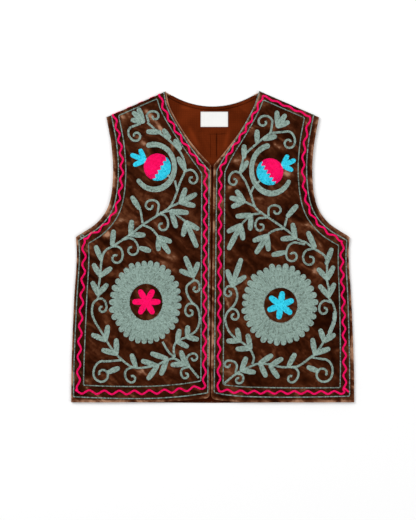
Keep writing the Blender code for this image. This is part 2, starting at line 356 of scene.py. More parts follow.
VELVET_STOPS = (
    (0.00, (0.0075, 0.0014, 0.0004, 1)),
    (0.25, (0.0175, 0.0037, 0.0011, 1)),
    (0.50, (0.0410, 0.0095, 0.0032, 1)),
    (0.72, (0.0980, 0.0310, 0.0125, 1)),
    (1.00, (0.3500, 0.1850, 0.1100, 1)),
)
BRUSHED_WAY = (0.0, 0.0, -0.7)
BRUSHED_LENGTH = (2.2, 1.0, 1.0)
velvet = Finish(
    "crushed_velvet",
    {
        "Roughness": 0.9,
        "Specular IOR Level": 0.0,
        "Sheen Weight": 0.12,
        "Sheen Roughness": 0.4,
        "Sheen Tint": (1.0, 0.42, 0.25, 1),
    },
)
velvet_place = velvet.place()
brushed = {"Vector": velvet_place, "Rotation": BRUSHED_WAY, "Scale": BRUSHED_LENGTH}
brushed_place = velvet.node("ShaderNodeMapping", {"vector_type": "TEXTURE"}, brushed)
# The crushed patches and the lie of the pile below give the pile's uneven tone and its painted sheen.
crushed = velvet.noise(brushed_place, 40.0, 4.0, 1.2)
mottled = velvet.noise(velvet_place, 120.0, 3.0, 0.6)
pile = velvet.noise(velvet_place, 1100.0, 2.0)
lie = velvet.attribute("nap") + crushed * 1.50 + mottled * 0.50 + pile * 0.25 - 0.75
velvet_finish = velvet.dress(
    Base_Color=velvet.ramp(lie, VELVET_STOPS),
    Normal=velvet.bump(pile + mottled * 0.6, 0.0006, 0.5),
)

BACK_NAP = 0.08


def back_underside(u, v):
    place = back_place(abs(u), v, 0.0, 0.0, 0.0, 0.0)
    point = Vector((math.copysign(place.x, u), place.y - LENGTH / 2, 0.0))
    return point, BACK_NAP


both_halves = [i / 45 for i in range(-45, 46)]
back = laid_cloth("back", both_halves, spaced(90, 0.004), back_underside, BACK_WALL, velvet_finish)
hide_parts("back_panel")

# The lining is plain-weave red-brown cotton, slip-stitched in along the seams of the back.
# A box pleat falls from under the label, and a pressed crease crosses it.
PLEAT_CENTRE = 0.0015
PLEAT_HALF_WIDTH = 0.0055
PLEAT_RISE = 0.0010
PLEAT_TOP = 0.5050
PLEAT_FOOT = 0.4480
PLEAT_FADE = 0.0150
FOLD_COLUMNS = "across up to_across to_up half_width rise"
LINING_CREASES = table(
    FOLD_COLUMNS,
    (-0.010, 0.4975, 0.031, 0.4985, 0.0012, -0.00035),
    (0.036, 0.5560, 0.064, 0.5400, 0.0022, 0.00045),
    (0.044, 0.5490, 0.060, 0.5430, 0.0018, -0.00035),
    (-0.060, 0.5480, -0.040, 0.5440, 0.0024, 0.00035),
    (-0.046, 0.5150, -0.024, 0.4700, 0.0040, 0.00040),
    (0.030, 0.5060, 0.022, 0.4700, 0.0040, 0.00040),
)
COTTON_DARK = (0.014, 0.0016, 0.0004, 1)
COTTON_LIGHT = (0.175, 0.0270, 0.0055, 1)
THREADS_PER_METRE = 1500.0
# The lining stops short of the side, the armhole, the hem and the neck by these.
LINING_SETBACKS = (0.0080, 0.0020, 0.0025, 0.0073)
LINING_NAP = 0.25
# Painted shade and light: the lining is painted darker in crease troughs and lighter on their ridges.
CREASE_PAINTED_SHADING = 700
PLEAT_SHADE_WIDTH = 0.0010
# Painted shade on the lining where it shows in the narrow gap between the fronts.
BETWEEN_FRONTS_SHADE = -0.35
BETWEEN_FRONTS_FADE = 0.012
# Painted shadow of the shoulder folds on the cotton round each neck point.
NECK_POINT_PAINTED_SHADE = -0.45
NECK_POINT_SHADE_WIDTH = 0.012
SEEN_FROM = 0.76

cotton = Finish("plain_cotton", {"Roughness": 0.95, "Specular IOR Level": 0.0})
cotton_place = cotton.place()


def weave(finish, place, threads):
    """Over-and-under rows of a plain weave, as the product of two sets of waves."""
    bands = {"wave_type": "BANDS", "wave_profile": "SIN"}
    sizes = {"Vector": place, "Scale": threads / 20.0, "Distortion": 4.0}
    warp = finish.node("ShaderNodeTexWave", {**bands, "bands_direction": "X"}, sizes, "Fac")
    weft = finish.node("ShaderNodeTexWave", {**bands, "bands_direction": "Y"}, sizes, "Fac")
    return warp * weft


cotton_weave = weave(cotton, cotton_place, THREADS_PER_METRE)
cotton_cloud = cotton.noise(cotton_place, 16.0, 4.0, 0.5)
cotton_tone = cotton.attribute("nap") + cotton_cloud * 1.2 + cotton_weave * 0.12 - 0.38
cotton_finish = cotton.dress(
    Base_Color=cotton.ramp(cotton_tone, ((0.0, COTTON_DARK), (1.0, COTTON_LIGHT))),
    Normal=cotton.bump(cotton_weave + cotton_cloud, 0.00015, 0.6),
)


def bell(away, width):
    """A soft bump that is 1 at no distance and dies out by about twice its width."""
    return math.exp(-((away / width) ** 2))


def painted_shade_at_neck_point(place):
    """Painted shadow: how dark the cotton is painted where it runs in under a shoulder fold."""
    away = (Vector((abs(place.x), place.y)) - NECK_POINT).length
    return NECK_POINT_PAINTED_SHADE * bell(away, NECK_POINT_SHADE_WIDTH)


def segment_distance(point, start, end):
    """Distance from a point to a straight line, and how far along the line its foot lies."""
    run = end - start
    share = min(max((point - start).dot(run) / run.length_squared, 0.0), 1.0)
    return (point - start - run * share).length, share


def fold_rise(folds, place):
    """Height that soft folds add at a place."""
    rise = 0.0
    for fold in folds:
        start, end = Vector((fold.across, fold.up)), Vector((fold.to_across, fold.to_up))
        away, share = segment_distance(place, start, end)
        if away < 4 * fold.half_width:
            taper = 0.3 + 0.7 * ease(4 * share) * ease(4 * (1 - share))
            rise += fold.rise * taper * bell(away, fold.half_width)
    return rise


def lining_underside(u, v):
    place = back_place(abs(u), v, *LINING_SETBACKS)
    place.x = math.copysign(place.x, u)
    aside = abs(place.x - PLEAT_CENTRE)
    ends = ease((PLEAT_TOP - place.y) / PLEAT_FADE) * ease((place.y - PLEAT_FOOT) / PLEAT_FADE)
    pleat = PLEAT_RISE * ends * (1 - ease((aside / PLEAT_HALF_WIDTH - 0.6) * 2.5))
    creases = fold_rise(LINING_CREASES, place)
    soft = 0.00025 * noise.noise(Vector((place.x * 30, place.y * 30, 1.0)))
    crease_side = 0.55 if place.x > PLEAT_CENTRE else 0.25
    in_shadow = -crease_side * ends * bell(aside - PLEAT_HALF_WIDTH, PLEAT_SHADE_WIDTH)
    shade_between_fronts = BETWEEN_FRONTS_SHADE * ease((PLEAT_FOOT - place.y) / BETWEEN_FRONTS_FADE)
    height = LINING_FLOOR + pleat + max(creases + soft, -SEAM_GAP / 2)
    nap = LINING_NAP + in_shadow + shade_between_fronts + CREASE_PAINTED_SHADING * creases + painted_shade_at_neck_point(place)
    return Vector((place.x, place.y - LENGTH / 2, height)), nap


in_neck = [i * 0.0011 / SHOULDER_TIP.x for i in range(-80, 81)]
beside_neck = [side * (0.45 + 0.55 * i / 14) for side in (-1, 1) for i in range(1, 15)]
# Rows are sparse where the fronts hide the lining, and close where it is seen in the neck.
hidden_rows = {i / 30 * SEEN_FROM for i in range(31)}
seen_rows = {SEEN_FROM + (1 - SEEN_FROM) * i / 66 for i in range(67)}
lining = laid_cloth(
    "lining",
    sorted(in_neck + beside_neck),
    sorted(hidden_rows | seen_rows),
    lining_underside,
    LINING_WALL,
    cotton_finish,
)
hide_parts("back_lining")

# A narrow cotton facing finishes the back of the neck on the inside.
# It is seamed to the lining, and the seam shows as a dark line of painted shade.
FACING_WIDTH = 0.0060
FACING_SETBACK = 0.0010


def facing_underside(u, v):
    setback = FACING_SETBACK + FACING_WIDTH * (1 - v)
    place = neckline(neck_end(setback).x * u, setback)
    soft = 0.00012 * noise.noise(Vector((place.x * 60, place.y * 60, 2.0)))
    # The strip next to the lining seam is painted dark, as shade in the seam.
    nap = (0.0 if v < 0.2 else 0.21) + painted_shade_at_neck_point(place)
    return Vector((place.x, place.y - LENGTH / 2, LINING_FLOOR + soft)), nap


facing = laid_cloth(
    "neck_facing",
    [i / 60 for i in range(-60, 61)],
    [i / 6 for i in range(7)],
    facing_underside,
    LINING_WALL,
    cotton_finish,
)
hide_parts("back_neck_facing")

# A bare label of white woven tape is folded under at both ends.
# It is stitched down to the lining all round.
LABEL_WALL = 0.0006
LABEL_WIDTH = 0.0505
LABEL_HEIGHT = 0.0280
LABEL_CENTRE = 0.0030
LABEL_TOP = 0.0100
LABEL_BOW = 0.0004
LABEL_STITCH_IN = 0.0012
LABEL_STITCH_WIDTH = 0.0005
TAPE_SHADE = (0.42, 0.42, 0.40, 1)
TAPE_LIGHT = (0.79, 0.795, 0.775, 1)

tape = Finish("white_woven_tape", {"Roughness": 0.7, "Specular IOR Level": 0.15})
tape_place = tape.place()
tape_weave = weave(tape, tape_place, 2600.0)
tape_tone = tape.attribute("nap") + tape_weave * 0.2 + tape.noise(tape_place, 60.0) * 0.2
tape_finish = tape.dress(
    Base_Color=tape.ramp(tape_tone, ((0.0, TAPE_SHADE), (0.8, TAPE_LIGHT))),
    Normal=tape.bump(tape_weave, 0.0002, 0.5),
)


def label_underside(u, v):
    top = NECK_POINT.y - NECK_SCOOP - LABEL_TOP
    place = Vector((LABEL_CENTRE + (u - 0.5) * LABEL_WIDTH, top - (1 - v) * LABEL_HEIGHT))
    bow = LABEL_BOW * math.sin(math.pi * u) * math.sin(math.pi * v)
    in_from_end = min(u, 1 - u) * LABEL_WIDTH
    in_from_edge = min(in_from_end, min(v, 1 - v) * LABEL_HEIGHT)
    stitched = bell(in_from_edge - LABEL_STITCH_IN, LABEL_STITCH_WIDTH)
    folded = 0.0002 * (1 - ease((in_from_end - 0.006) / 0.001))
    point = Vector((place.x, place.y - LENGTH / 2, ON_LINING + bow + folded - 0.0001 * stitched))
    return point, 0.62 - 0.35 * stitched


label = laid_cloth(
    "label",
    [i / 72 for i in range(73)],
    [i / 40 for i in range(41)],
    label_underside,
    LABEL_WALL,
    tape_finish,
)
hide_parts("neck_label")

# Each front is crushed velvet bagged out with its own lining, the seam rolled in by a stitch row.
# It is sewn to the back at the side, and folds over the shoulder to a seam that lies behind.
LEFT_CENTRE_EDGE = table(
    EDGE_COLUMNS,
    (0.00, -0.0030, 0.0080, True),
    (0.76, 0.0020, 0.4400, True),
    (0.84, 0.0265, 0.4700, False),
    (0.90, 0.0530, 0.5060, False),
    (0.95, 0.0755, 0.5460, False),
    (1.00, *NECK_POINT, True),
)
RIGHT_CENTRE_EDGE = table(
    EDGE_COLUMNS,
    (0.00, 0.0059, 0.0095, True),
    (0.76, 0.0033, 0.4400, True),
    (0.84, 0.0300, 0.4690, False),
    (0.90, 0.0560, 0.5050, False),
    (0.95, 0.0790, 0.5460, False),
    (1.00, *NECK_POINT, True),
)
LEFT_HEM = table(
    EDGE_COLUMNS,
    (0.00, -0.0030, 0.0080, True),
    (0.10, 0.0225, 0.0042, False),
    (0.30, 0.0700, 0.0018, False),
    (1.00, 0.2620, 0.0015, True),
)
RIGHT_HEM = table(
    EDGE_COLUMNS,
    (0.00, 0.0059, 0.0095, True),
    (0.22, 0.0600, 0.0045, False),
    (0.45, 0.1200, 0.0020, False),
    (1.00, 0.2620, 0.0015, True),
)
CENTRE_EDGES = {1: LEFT_CENTRE_EDGE, -1: RIGHT_CENTRE_EDGE}
HEMS = {1: LEFT_HEM, -1: RIGHT_HEM}
NECK_BREAK = LEFT_CENTRE_EDGE[1].at
FRONT_CORNER_RADIUS = 0.0065
BELLY_RISE = 0.0020
BELLY_REACH = 0.0600
EDGE_REACH = 0.0200
SIDE_DROP_REACH = 0.0080
SIDE_SEAM_FLOOR = BACK_WALL + SEAM_GAP
# A turned edge stands up in a roll, and its stitch row sinks beside it.
ROLL_RISE = 0.00030
ROLL_IN = 0.0020
ROLL_WIDTH = 0.0014
STITCH_SINK = 0.00034
STITCH_IN = 0.0046
STITCH_WIDTH = 0.0012
OPENING_SHEEN_WIDTH = 0.0030
RIM_SHEEN_WIDTH = 0.0045
LEFT_FOLDS = table(
    FOLD_COLUMNS,
    (0.088, 0.545, 0.140, 0.505, 0.010, 0.0016),
    (0.060, 0.455, 0.105, 0.400, 0.012, 0.0014),
    (0.235, 0.285, 0.150, 0.235, 0.014, 0.0018),
    (0.150, 0.340, 0.200, 0.300, 0.011, 0.0012),
    (0.040, 0.250, 0.110, 0.265, 0.014, 0.0012),
    (0.235, 0.150, 0.210, 0.050, 0.013, 0.0015),
    (0.050, 0.075, 0.120, 0.050, 0.013, 0.0013),
)
RIGHT_FOLDS = table(
    FOLD_COLUMNS,
    (0.135, 0.550, 0.098, 0.500, 0.010, 0.0018),
    (0.165, 0.525, 0.130, 0.470, 0.011, 0.0014),
    (0.230, 0.290, 0.165, 0.262, 0.014, 0.0018),
    (0.110, 0.345, 0.175, 0.322, 0.012, 0.0013),
    (0.030, 0.305, 0.075, 0.240, 0.013, 0.0012),
    (0.240, 0.120, 0.215, 0.035, 0.013, 0.0015),
    (0.035, 0.110, 0.095, 0.085, 0.013, 0.0013),
)
# Painted sheen: pale highlights where the pile is brushed up, in metres across and up, and how
# strongly.
LEFT_SHEEN_STREAKS = table(
    FOLD_COLUMNS,
    (0.070, 0.512, 0.080, 0.498, 0.006, 0.30),
    (0.108, 0.482, 0.128, 0.470, 0.006, 0.42),
    (0.126, 0.472, 0.140, 0.468, 0.005, 0.30),
    (0.040, 0.452, 0.052, 0.438, 0.005, 0.30),
    (0.022, 0.392, 0.048, 0.410, 0.006, 0.30),
    (0.128, 0.430, 0.152, 0.418, 0.006, 0.26),
    (0.150, 0.545, 0.176, 0.530, 0.006, 0.30),
    (0.168, 0.335, 0.190, 0.322, 0.006, 0.28),
    (0.192, 0.300, 0.200, 0.268, 0.008, 0.20),
    (0.182, 0.246, 0.200, 0.232, 0.007, 0.30),
    (0.018, 0.205, 0.040, 0.190, 0.008, 0.24),
    (0.020, 0.272, 0.038, 0.262, 0.006, 0.22),
    (0.254, 0.110, 0.258, 0.060, 0.006, 0.30),
    (0.236, 0.315, 0.226, 0.300, 0.006, 0.30),
    (0.060, 0.130, 0.078, 0.116, 0.007, 0.16),
    (0.086, 0.070, 0.100, 0.058, 0.006, 0.20),
)
RIGHT_SHEEN_STREAKS = table(
    FOLD_COLUMNS,
    (0.150, 0.536, 0.176, 0.528, 0.006, 0.34),
    (0.128, 0.546, 0.100, 0.514, 0.005, 0.46),
    (0.100, 0.514, 0.092, 0.500, 0.004, 0.40),
    (0.117, 0.482, 0.140, 0.478, 0.005, 0.26),
    (0.076, 0.486, 0.074, 0.462, 0.005, 0.34),
    (0.056, 0.462, 0.046, 0.450, 0.005, 0.24),
    (0.160, 0.338, 0.196, 0.330, 0.005, 0.34),
    (0.188, 0.316, 0.206, 0.304, 0.006, 0.34),
    (0.220, 0.300, 0.232, 0.282, 0.007, 0.28),
    (0.060, 0.268, 0.102, 0.258, 0.007, 0.24),
    (0.030, 0.230, 0.044, 0.214, 0.006, 0.22),
    (0.226, 0.104, 0.240, 0.078, 0.008, 0.26),
    (0.212, 0.052, 0.234, 0.040, 0.008, 0.30),
    (0.126, 0.066, 0.140, 0.052, 0.006, 0.28),
    (0.034, 0.330, 0.054, 0.318, 0.006, 0.22),
    (0.196, 0.152, 0.206, 0.136, 0.007, 0.20),
)
FRONT_OUTER_END = place_below_shoulder(OUTER_EDGE, SHOULDER_RADIUS)
FRONT_CENTRE_ENDS = {
    side: place_below_shoulder(edge, SHOULDER_RADIUS) for side, edge in CENTRE_EDGES.items()
}
NECK_LEAN = (neck_end(0) - NECK_POINT - SHOULDER_DOWN * BACK_SHOULDER_DROP).dot(SHOULDER_RUN)


@lru_cache(maxsize=None)
def front_edge(side, edge_name, share):
    if edge_name == "outer":
        return along(OUTER_EDGE, share * FRONT_OUTER_END)
    if edge_name == "hem":
        return along(HEMS[side], share)
    return along(CENTRE_EDGES[side], share * FRONT_CENTRE_ENDS[side])


def round_corner(offset, radius):
    """How a place near a corner moves to round it. The offset is its depth from both edges."""
    inward = Vector((radius - offset.x, radius - offset.y))
    if min(inward) <= 0:
        return Vector((0, 0))
    return Vector((radius, radius)) - inward.normalized() * max(inward) - offset


@lru_cache(maxsize=None)
def front_place(side, u, v):
    """Flat place on a front, u from the centre edge out and v from the hem to the shoulder bend."""

    def outer(share):
        return front_edge(side, "outer", share)

    def centre(share):
        return front_edge(side, "centre", share)

    def hem(share):
        return front_edge(side, "hem", share)

    def shoulder(share):
        return centre(1).lerp(outer(1), share)

    place = patch(hem, shoulder, centre, outer, u, v)
    offset = Vector((place.x - centre(v).x, place.y - hem(u).y))
    return place + round_corner(offset, FRONT_CORNER_RADIUS)


def edge_tree(place_at):
    tree = kdtree.KDTree(1201)
    for i in range(1201):
        tree.insert(place_at(i / 1200).to_3d(), i)
    tree.balance()
    return tree


ARMHOLE = edge_tree(lambda share: along(OUTER_EDGE, UNDERARM + (1 - UNDERARM) * share))
SIDE_SEAM = edge_tree(lambda share: along(OUTER_EDGE, UNDERARM * share))


def velvet_front(name, side, folds, sheen_streaks):
    """One front with what the needle does to it, and its painted sheen. Rows past 1 go round the
    shoulder.
    """
    opening = edge_tree(lambda share: along(CENTRE_EDGES[side], share))
    hem = edge_tree(lambda share: front_place(side, share, 0.0))

    def cloth_height(u, v, place):
        from_side = (front_place(side, 1.0, v) - place).length
        from_centre = (place - front_place(side, 0.0, v)).length
        from_shoulder = below_shoulder(place) - SHOULDER_RADIUS

        def inside(reach):
            sides = ease(from_side / reach) * ease(from_centre / reach)
            return sides * ease(place.y / reach) * ease(from_shoulder / reach)

        side_seam = (1 - ease(from_side / SIDE_DROP_REACH)) * ease((UNDERARM - v) / 0.02)
        height = ON_LINING + BELLY_RISE * inside(BELLY_REACH)
        height += fold_rise(folds, place) * inside(EDGE_REACH)
        return height - (ON_LINING - SIDE_SEAM_FLOOR) * side_seam

    def underside(u, v):
        place = front_place(side, u, min(v, 1.0))
        spot = place.to_3d()
        from_opening = opening.find(spot)[2]
        turned = min(from_opening, hem.find(spot)[2], ARMHOLE.find(spot)[2])
        rim = min(turned, SIDE_SEAM.find(spot)[2])
        noisy = Vector((place.x * side, place.y, 3.0))
        puckers = 0.00030 * noise.noise(noisy * 75) * math.exp(-rim / 0.010)
        soft = 0.00040 * noise.noise(noisy * 34) + 0.00020 * noise.noise(noisy * 95)
        rolled = ROLL_RISE * bell(turned - ROLL_IN, ROLL_WIDTH)
        sunk = STITCH_SINK * bell(turned - STITCH_IN, STITCH_WIDTH)
        fade = ease((below_shoulder(place) - SHOULDER_RADIUS) / 0.012)
        height = cloth_height(u, min(v, 1.0), place)
        height += max(puckers + soft + rolled - sunk, -0.00025) * fade
        if v > 1.0:
            angle = min(v - 1.0, 1.0) * math.pi
            behind = max(v - 2.0, 0.0)
            slide = SHOULDER_BEND * math.sin(angle) - behind * (SHOULDER_TURN - SHOULDER_RADIUS)
            place = place - SHOULDER_DOWN * slide + SHOULDER_RUN * NECK_LEAN * behind * (1 - u)
            height -= SHOULDER_BEND * (1 - math.cos(angle))
        # Painted sheen: the pile is painted pale, unevenly, along the opening, round the rims and in
        # streaks.
        uneven = 0.5 + 0.5 * noise.noise(noisy * 48)
        painted_sheen_at_opening = 0.34 + 0.36 * ease((place.y - 0.436) / 0.016)
        painted_sheen_at_opening *= bell(from_opening, OPENING_SHEEN_WIDTH) * (0.45 + 0.8 * uneven)
        painted_sheen_at_rim = 0.50 * bell(rim, RIM_SHEEN_WIDTH) * (0.2 + 1.1 * uneven)
        painted_sheen_streak = 1.45 * fold_rise(sheen_streaks, place) * (0.35 + 0.9 * uneven)
        lie = 0.05 + max(painted_sheen_at_opening, painted_sheen_at_rim) + painted_sheen_streak
        return Vector((place.x * side, place.y - LENGTH / 2, height)), lie

    beside_edges = [0.004 * i for i in range(1, 8)]
    columns = spaced(76, *beside_edges, *(1 - share for share in beside_edges))
    rows = spaced(150, *(0.0025 * i for i in range(1, 6)))
    rows += [1 + i / 12 for i in range(1, 13)] + [2.5, 3.0]
    front = laid_cloth(name, columns, rows, underside, FRONT_WALL, velvet_finish)
    return front


left_front = velvet_front("left_front", 1, LEFT_FOLDS, LEFT_SHEEN_STREAKS)
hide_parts("front_panel_left")

right_front = velvet_front("right_front", -1, RIGHT_FOLDS, RIGHT_SHEEN_STREAKS)
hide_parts("front_panel_right")

# Teal outlines in single rows of chain stitch, one near each front's edge and one inside that.
# The needle works in millimetres across and up, and follows the velvet over the shoulder fold.
LINK_PITCH = 2.4
STRAND_SIZE = (1.35, 0.66, 1.15)
STRAND_OPENING = math.radians(13)
STRAND_ASIDE = 0.26
# How unevenly the links turn, shift, swell and take the dye.
UNEVEN_TURN = 0.05
UNEVEN_SHIFT = 0.06
UNEVEN_SIZE = 0.07
UNEVEN_DYE = 0.11
ROW_STEP = 2.0
WOOL_HEIGHT = 1.05
WOOL_LIFT = 0.30
STEM_HALF_WIDTH = 1.95
PAD_HEIGHT = 0.55
# The pads are painted dark, as the shade that shows between rows of stitches.
PAD_PAINTED_SHADE = 0.30
LOWEST = 0.0002
OUTLINE_WIDTH = 1.8
OUTLINE_DYE = 0.40
BORDER_EDGES = ("hem", "side", "armhole", "shoulder", "neck", "centre")
# Millimetres from each edge to its rows, at the start, the middle and the end of the edge.
# The wave's swing and lengths are in millimetres too, and the part of a wave at each end in waves.
LEFT_BORDER = table(
    "edge outer wave inner swing first_wave last_wave enters leaves",
    ("hem", (12.4, 9.5, 11.6), (18.5, 18.3, 18.0), (30.2, 27.0, 27.5), 2.8, 25.3, 25.3, -0.4, 0),
    ("side", (8.9, 7.0, 4.5), (17.5, 16.0, 11.5), (26.8, 23.0, 18.5), 2.9, 25.6, 25.6, 0, 0.25),
    ("armhole", (8.0, 10.4, 10.4), (13.0, 16.8, 16.8), (24.0, 26.0, 26.0), 2.4, 25.0, 29.5, 0, 0),
    ("shoulder", (-3.0, -3.0, -3.0), (5.5, 5.5, 5.5), (12.0, 12.0, 12.0), 1.5, 22.0, 22.0, 0, 0),
    ("neck", (0.5, 2.0, 10.0), (8.5, 6.5, 15.0), (12.5, 13.0, 25.0), 2.6, 24.0, 24.0, 0, 0),
    ("centre", (5.7, 5.7, 5.7), (12.3, 13.2, 14.0), (20.5, 21.3, 22.0), 2.6, 24.0, 28.0, 0, 0),
)
RIGHT_BORDER = table(
    "edge outer wave inner swing first_wave last_wave enters leaves",
    ("hem", (9.9, 6.6, 10.5), (22.0, 18.0, 20.0), (33.7, 29.0, 33.0), 3.6, 28.0, 28.0, -0.4, 0),
    ("side", (4.3, 5.0, 5.2), (12.6, 14.2, 13.3), (22.3, 23.5, 22.0), 3.1, 28.5, 28.5, -0.46, 0.4),
    ("armhole", (8.0, 9.7, 9.7), (9.5, 16.0, 14.5), (22.0, 23.5, 22.6), 2.7, 25.3, 25.3, 0, 0),
    ("shoulder", (-4.5, -4.5, -4.5), (-4.6, -4.6, -4.6), (6.5, 6.5, 6.5), 2.2, 25.0, 25.0, 0, 0),
    ("neck", (4.5, 5.5, 9.2), (12.0, 10.5, 13.5), (19.7, 16.6, 23.0), 2.5, 24.0, 24.0, 0, 0),
    ("centre", (3.1, 3.1, 3.1), (9.7, 9.7, 9.7), (16.8, 16.5, 16.1), 2.9, 24.0, 30.0, 0.35, -0.33),
)
BORDERS = {1: LEFT_BORDER, -1: RIGHT_BORDER}
UNDERARM_KNOT = ((245.5, 308.4), (241.8, 312.1), (238.1, 308.4), (241.8, 304.7))


class Ground:
    """The velvet of one front as the needle meets it."""

    def __init__(self, front, side):
        self.tree = BVHTree.FromObject(front, bpy.context.evaluated_depsgraph_get())
        self.side = side
        self.name = "left" if side > 0 else "right"

    def at(self, across, up):
        """The world point over a flat place in millimetres, and the way out of the velvet."""
        place = Vector((across, up)) / 1000
        drop = below_shoulder(place)
        if drop < SHOULDER_RADIUS:
            angle = min((SHOULDER_RADIUS - drop) / SHOULDER_RADIUS, 3.1)
            seam = place + SHOULDER_DOWN * (SHOULDER_RADIUS - drop)
            foot = seam - SHOULDER_DOWN * SHOULDER_RADIUS * math.sin(angle)
            height = ON_LINING + FRONT_WALL - SHOULDER_RADIUS * (1 - math.cos(angle))
            lean = -SHOULDER_DOWN * math.sin(angle)
            point = Vector((foot.x * self.side, foot.y - LENGTH / 2, height))
            return point, Vector((lean.x * self.side, lean.y, math.cos(angle)))
        above = Vector((place.x * self.side, place.y - LENGTH / 2, 0.05))
        point, outward, _, _ = self.tree.ray_cast(above, Vector((0, 0, -1)))
        if point is None:
            point, outward, _, _ = self.tree.find_nearest(above)
        return point, outward


def plump_link():
    """A chain link of two strands that open like a wheat ear, in pitches, widths and heights."""
    shape = bmesh.new()
    for hand in (-1, 1):
        made = bmesh.ops.create_uvsphere(shape, u_segments=4, v_segments=3, radius=0.5)
        strand = made["verts"]
        bmesh.ops.rotate(shape, verts=strand, matrix=Matrix.Rotation(math.pi / 4, 3, "Z"))
        bmesh.ops.rotate(shape, verts=strand, matrix=Matrix.Rotation(math.pi / 2, 3, "Y"))
        bmesh.ops.scale(shape, verts=strand, vec=STRAND_SIZE)
        opening = Matrix.Rotation(hand * STRAND_OPENING, 3, "Z")
        bmesh.ops.rotate(shape, verts=strand, matrix=opening)
        bmesh.ops.translate(shape, verts=strand, vec=(0, hand * STRAND_ASIDE, 0))
    bmesh.ops.triangulate(shape, faces=shape.faces)
    places = np.array([vertex.co[:] for vertex in shape.verts])
    corners = np.array([[vertex.index for vertex in face.verts] for face in shape.faces])
    shape.free()
    return places, corners


LINK_PLACES, LINK_CORNERS = plump_link()


def paced(line, pace, closed):
    """Even steps of about one pace along a line, at the middle of each step."""
    line = np.asarray(line, float)
    if closed:
        line = np.vstack((line, line[:1]))
    spans = np.hypot(*np.diff(line, axis=0).T)
    reached = np.concatenate(((0.0,), np.cumsum(spans)))
    count = max(int(round(reached[-1] / pace)), 1)
    stops = (np.arange(count) + 0.5) * reached[-1] / count
    return np.stack([np.interp(stops, reached, line[:, k]) for k in (0, 1)], axis=1)


def beside(line, distance, closed=False):
    """A line moved sideways to its left, by one distance or by one for each of its points."""
    line = np.asarray(line, float)
    if closed:
        ahead = np.roll(line, -1, axis=0) - np.roll(line, 1, axis=0)
    else:
        ahead = np.gradient(line, axis=0)
    ahead /= np.maximum(np.hypot(*ahead.T), 1e-9)[:, None]
    return line + np.stack((-ahead[:, 1], ahead[:, 0]), axis=1) * np.reshape(distance, (-1, 1))


def smooth_line(points, step=1.0):
    """A dense smooth line through given points."""
    points = np.array(points, float)
    ends = np.vstack((2 * points[0] - points[1], points, 2 * points[-1] - points[-2]))
    dense = []
    for i in range(len(points) - 1):
        before, start, end, after = ends[i : i + 4]
        count = max(int(np.hypot(*(end - start)) / step), 2)
        t = (np.arange(count) / count)[:, None]
        bend = (2 * before - 5 * start + 4 * end - after) * t**2
        turn = (3 * start - before - 3 * end + after) * t**3
        dense.append(start + 0.5 * ((end - before) * t + bend + turn))
    return np.vstack((*dense, points[-1:]))


def runs(kept):
    """The unbroken stretches of a true-or-false list, as slices."""
    edges = np.flatnonzero(np.diff(np.concatenate(((False,), kept, (False,))).astype(int)))
    return [slice(start, end) for start, end in zip(edges[::2], edges[1::2])]


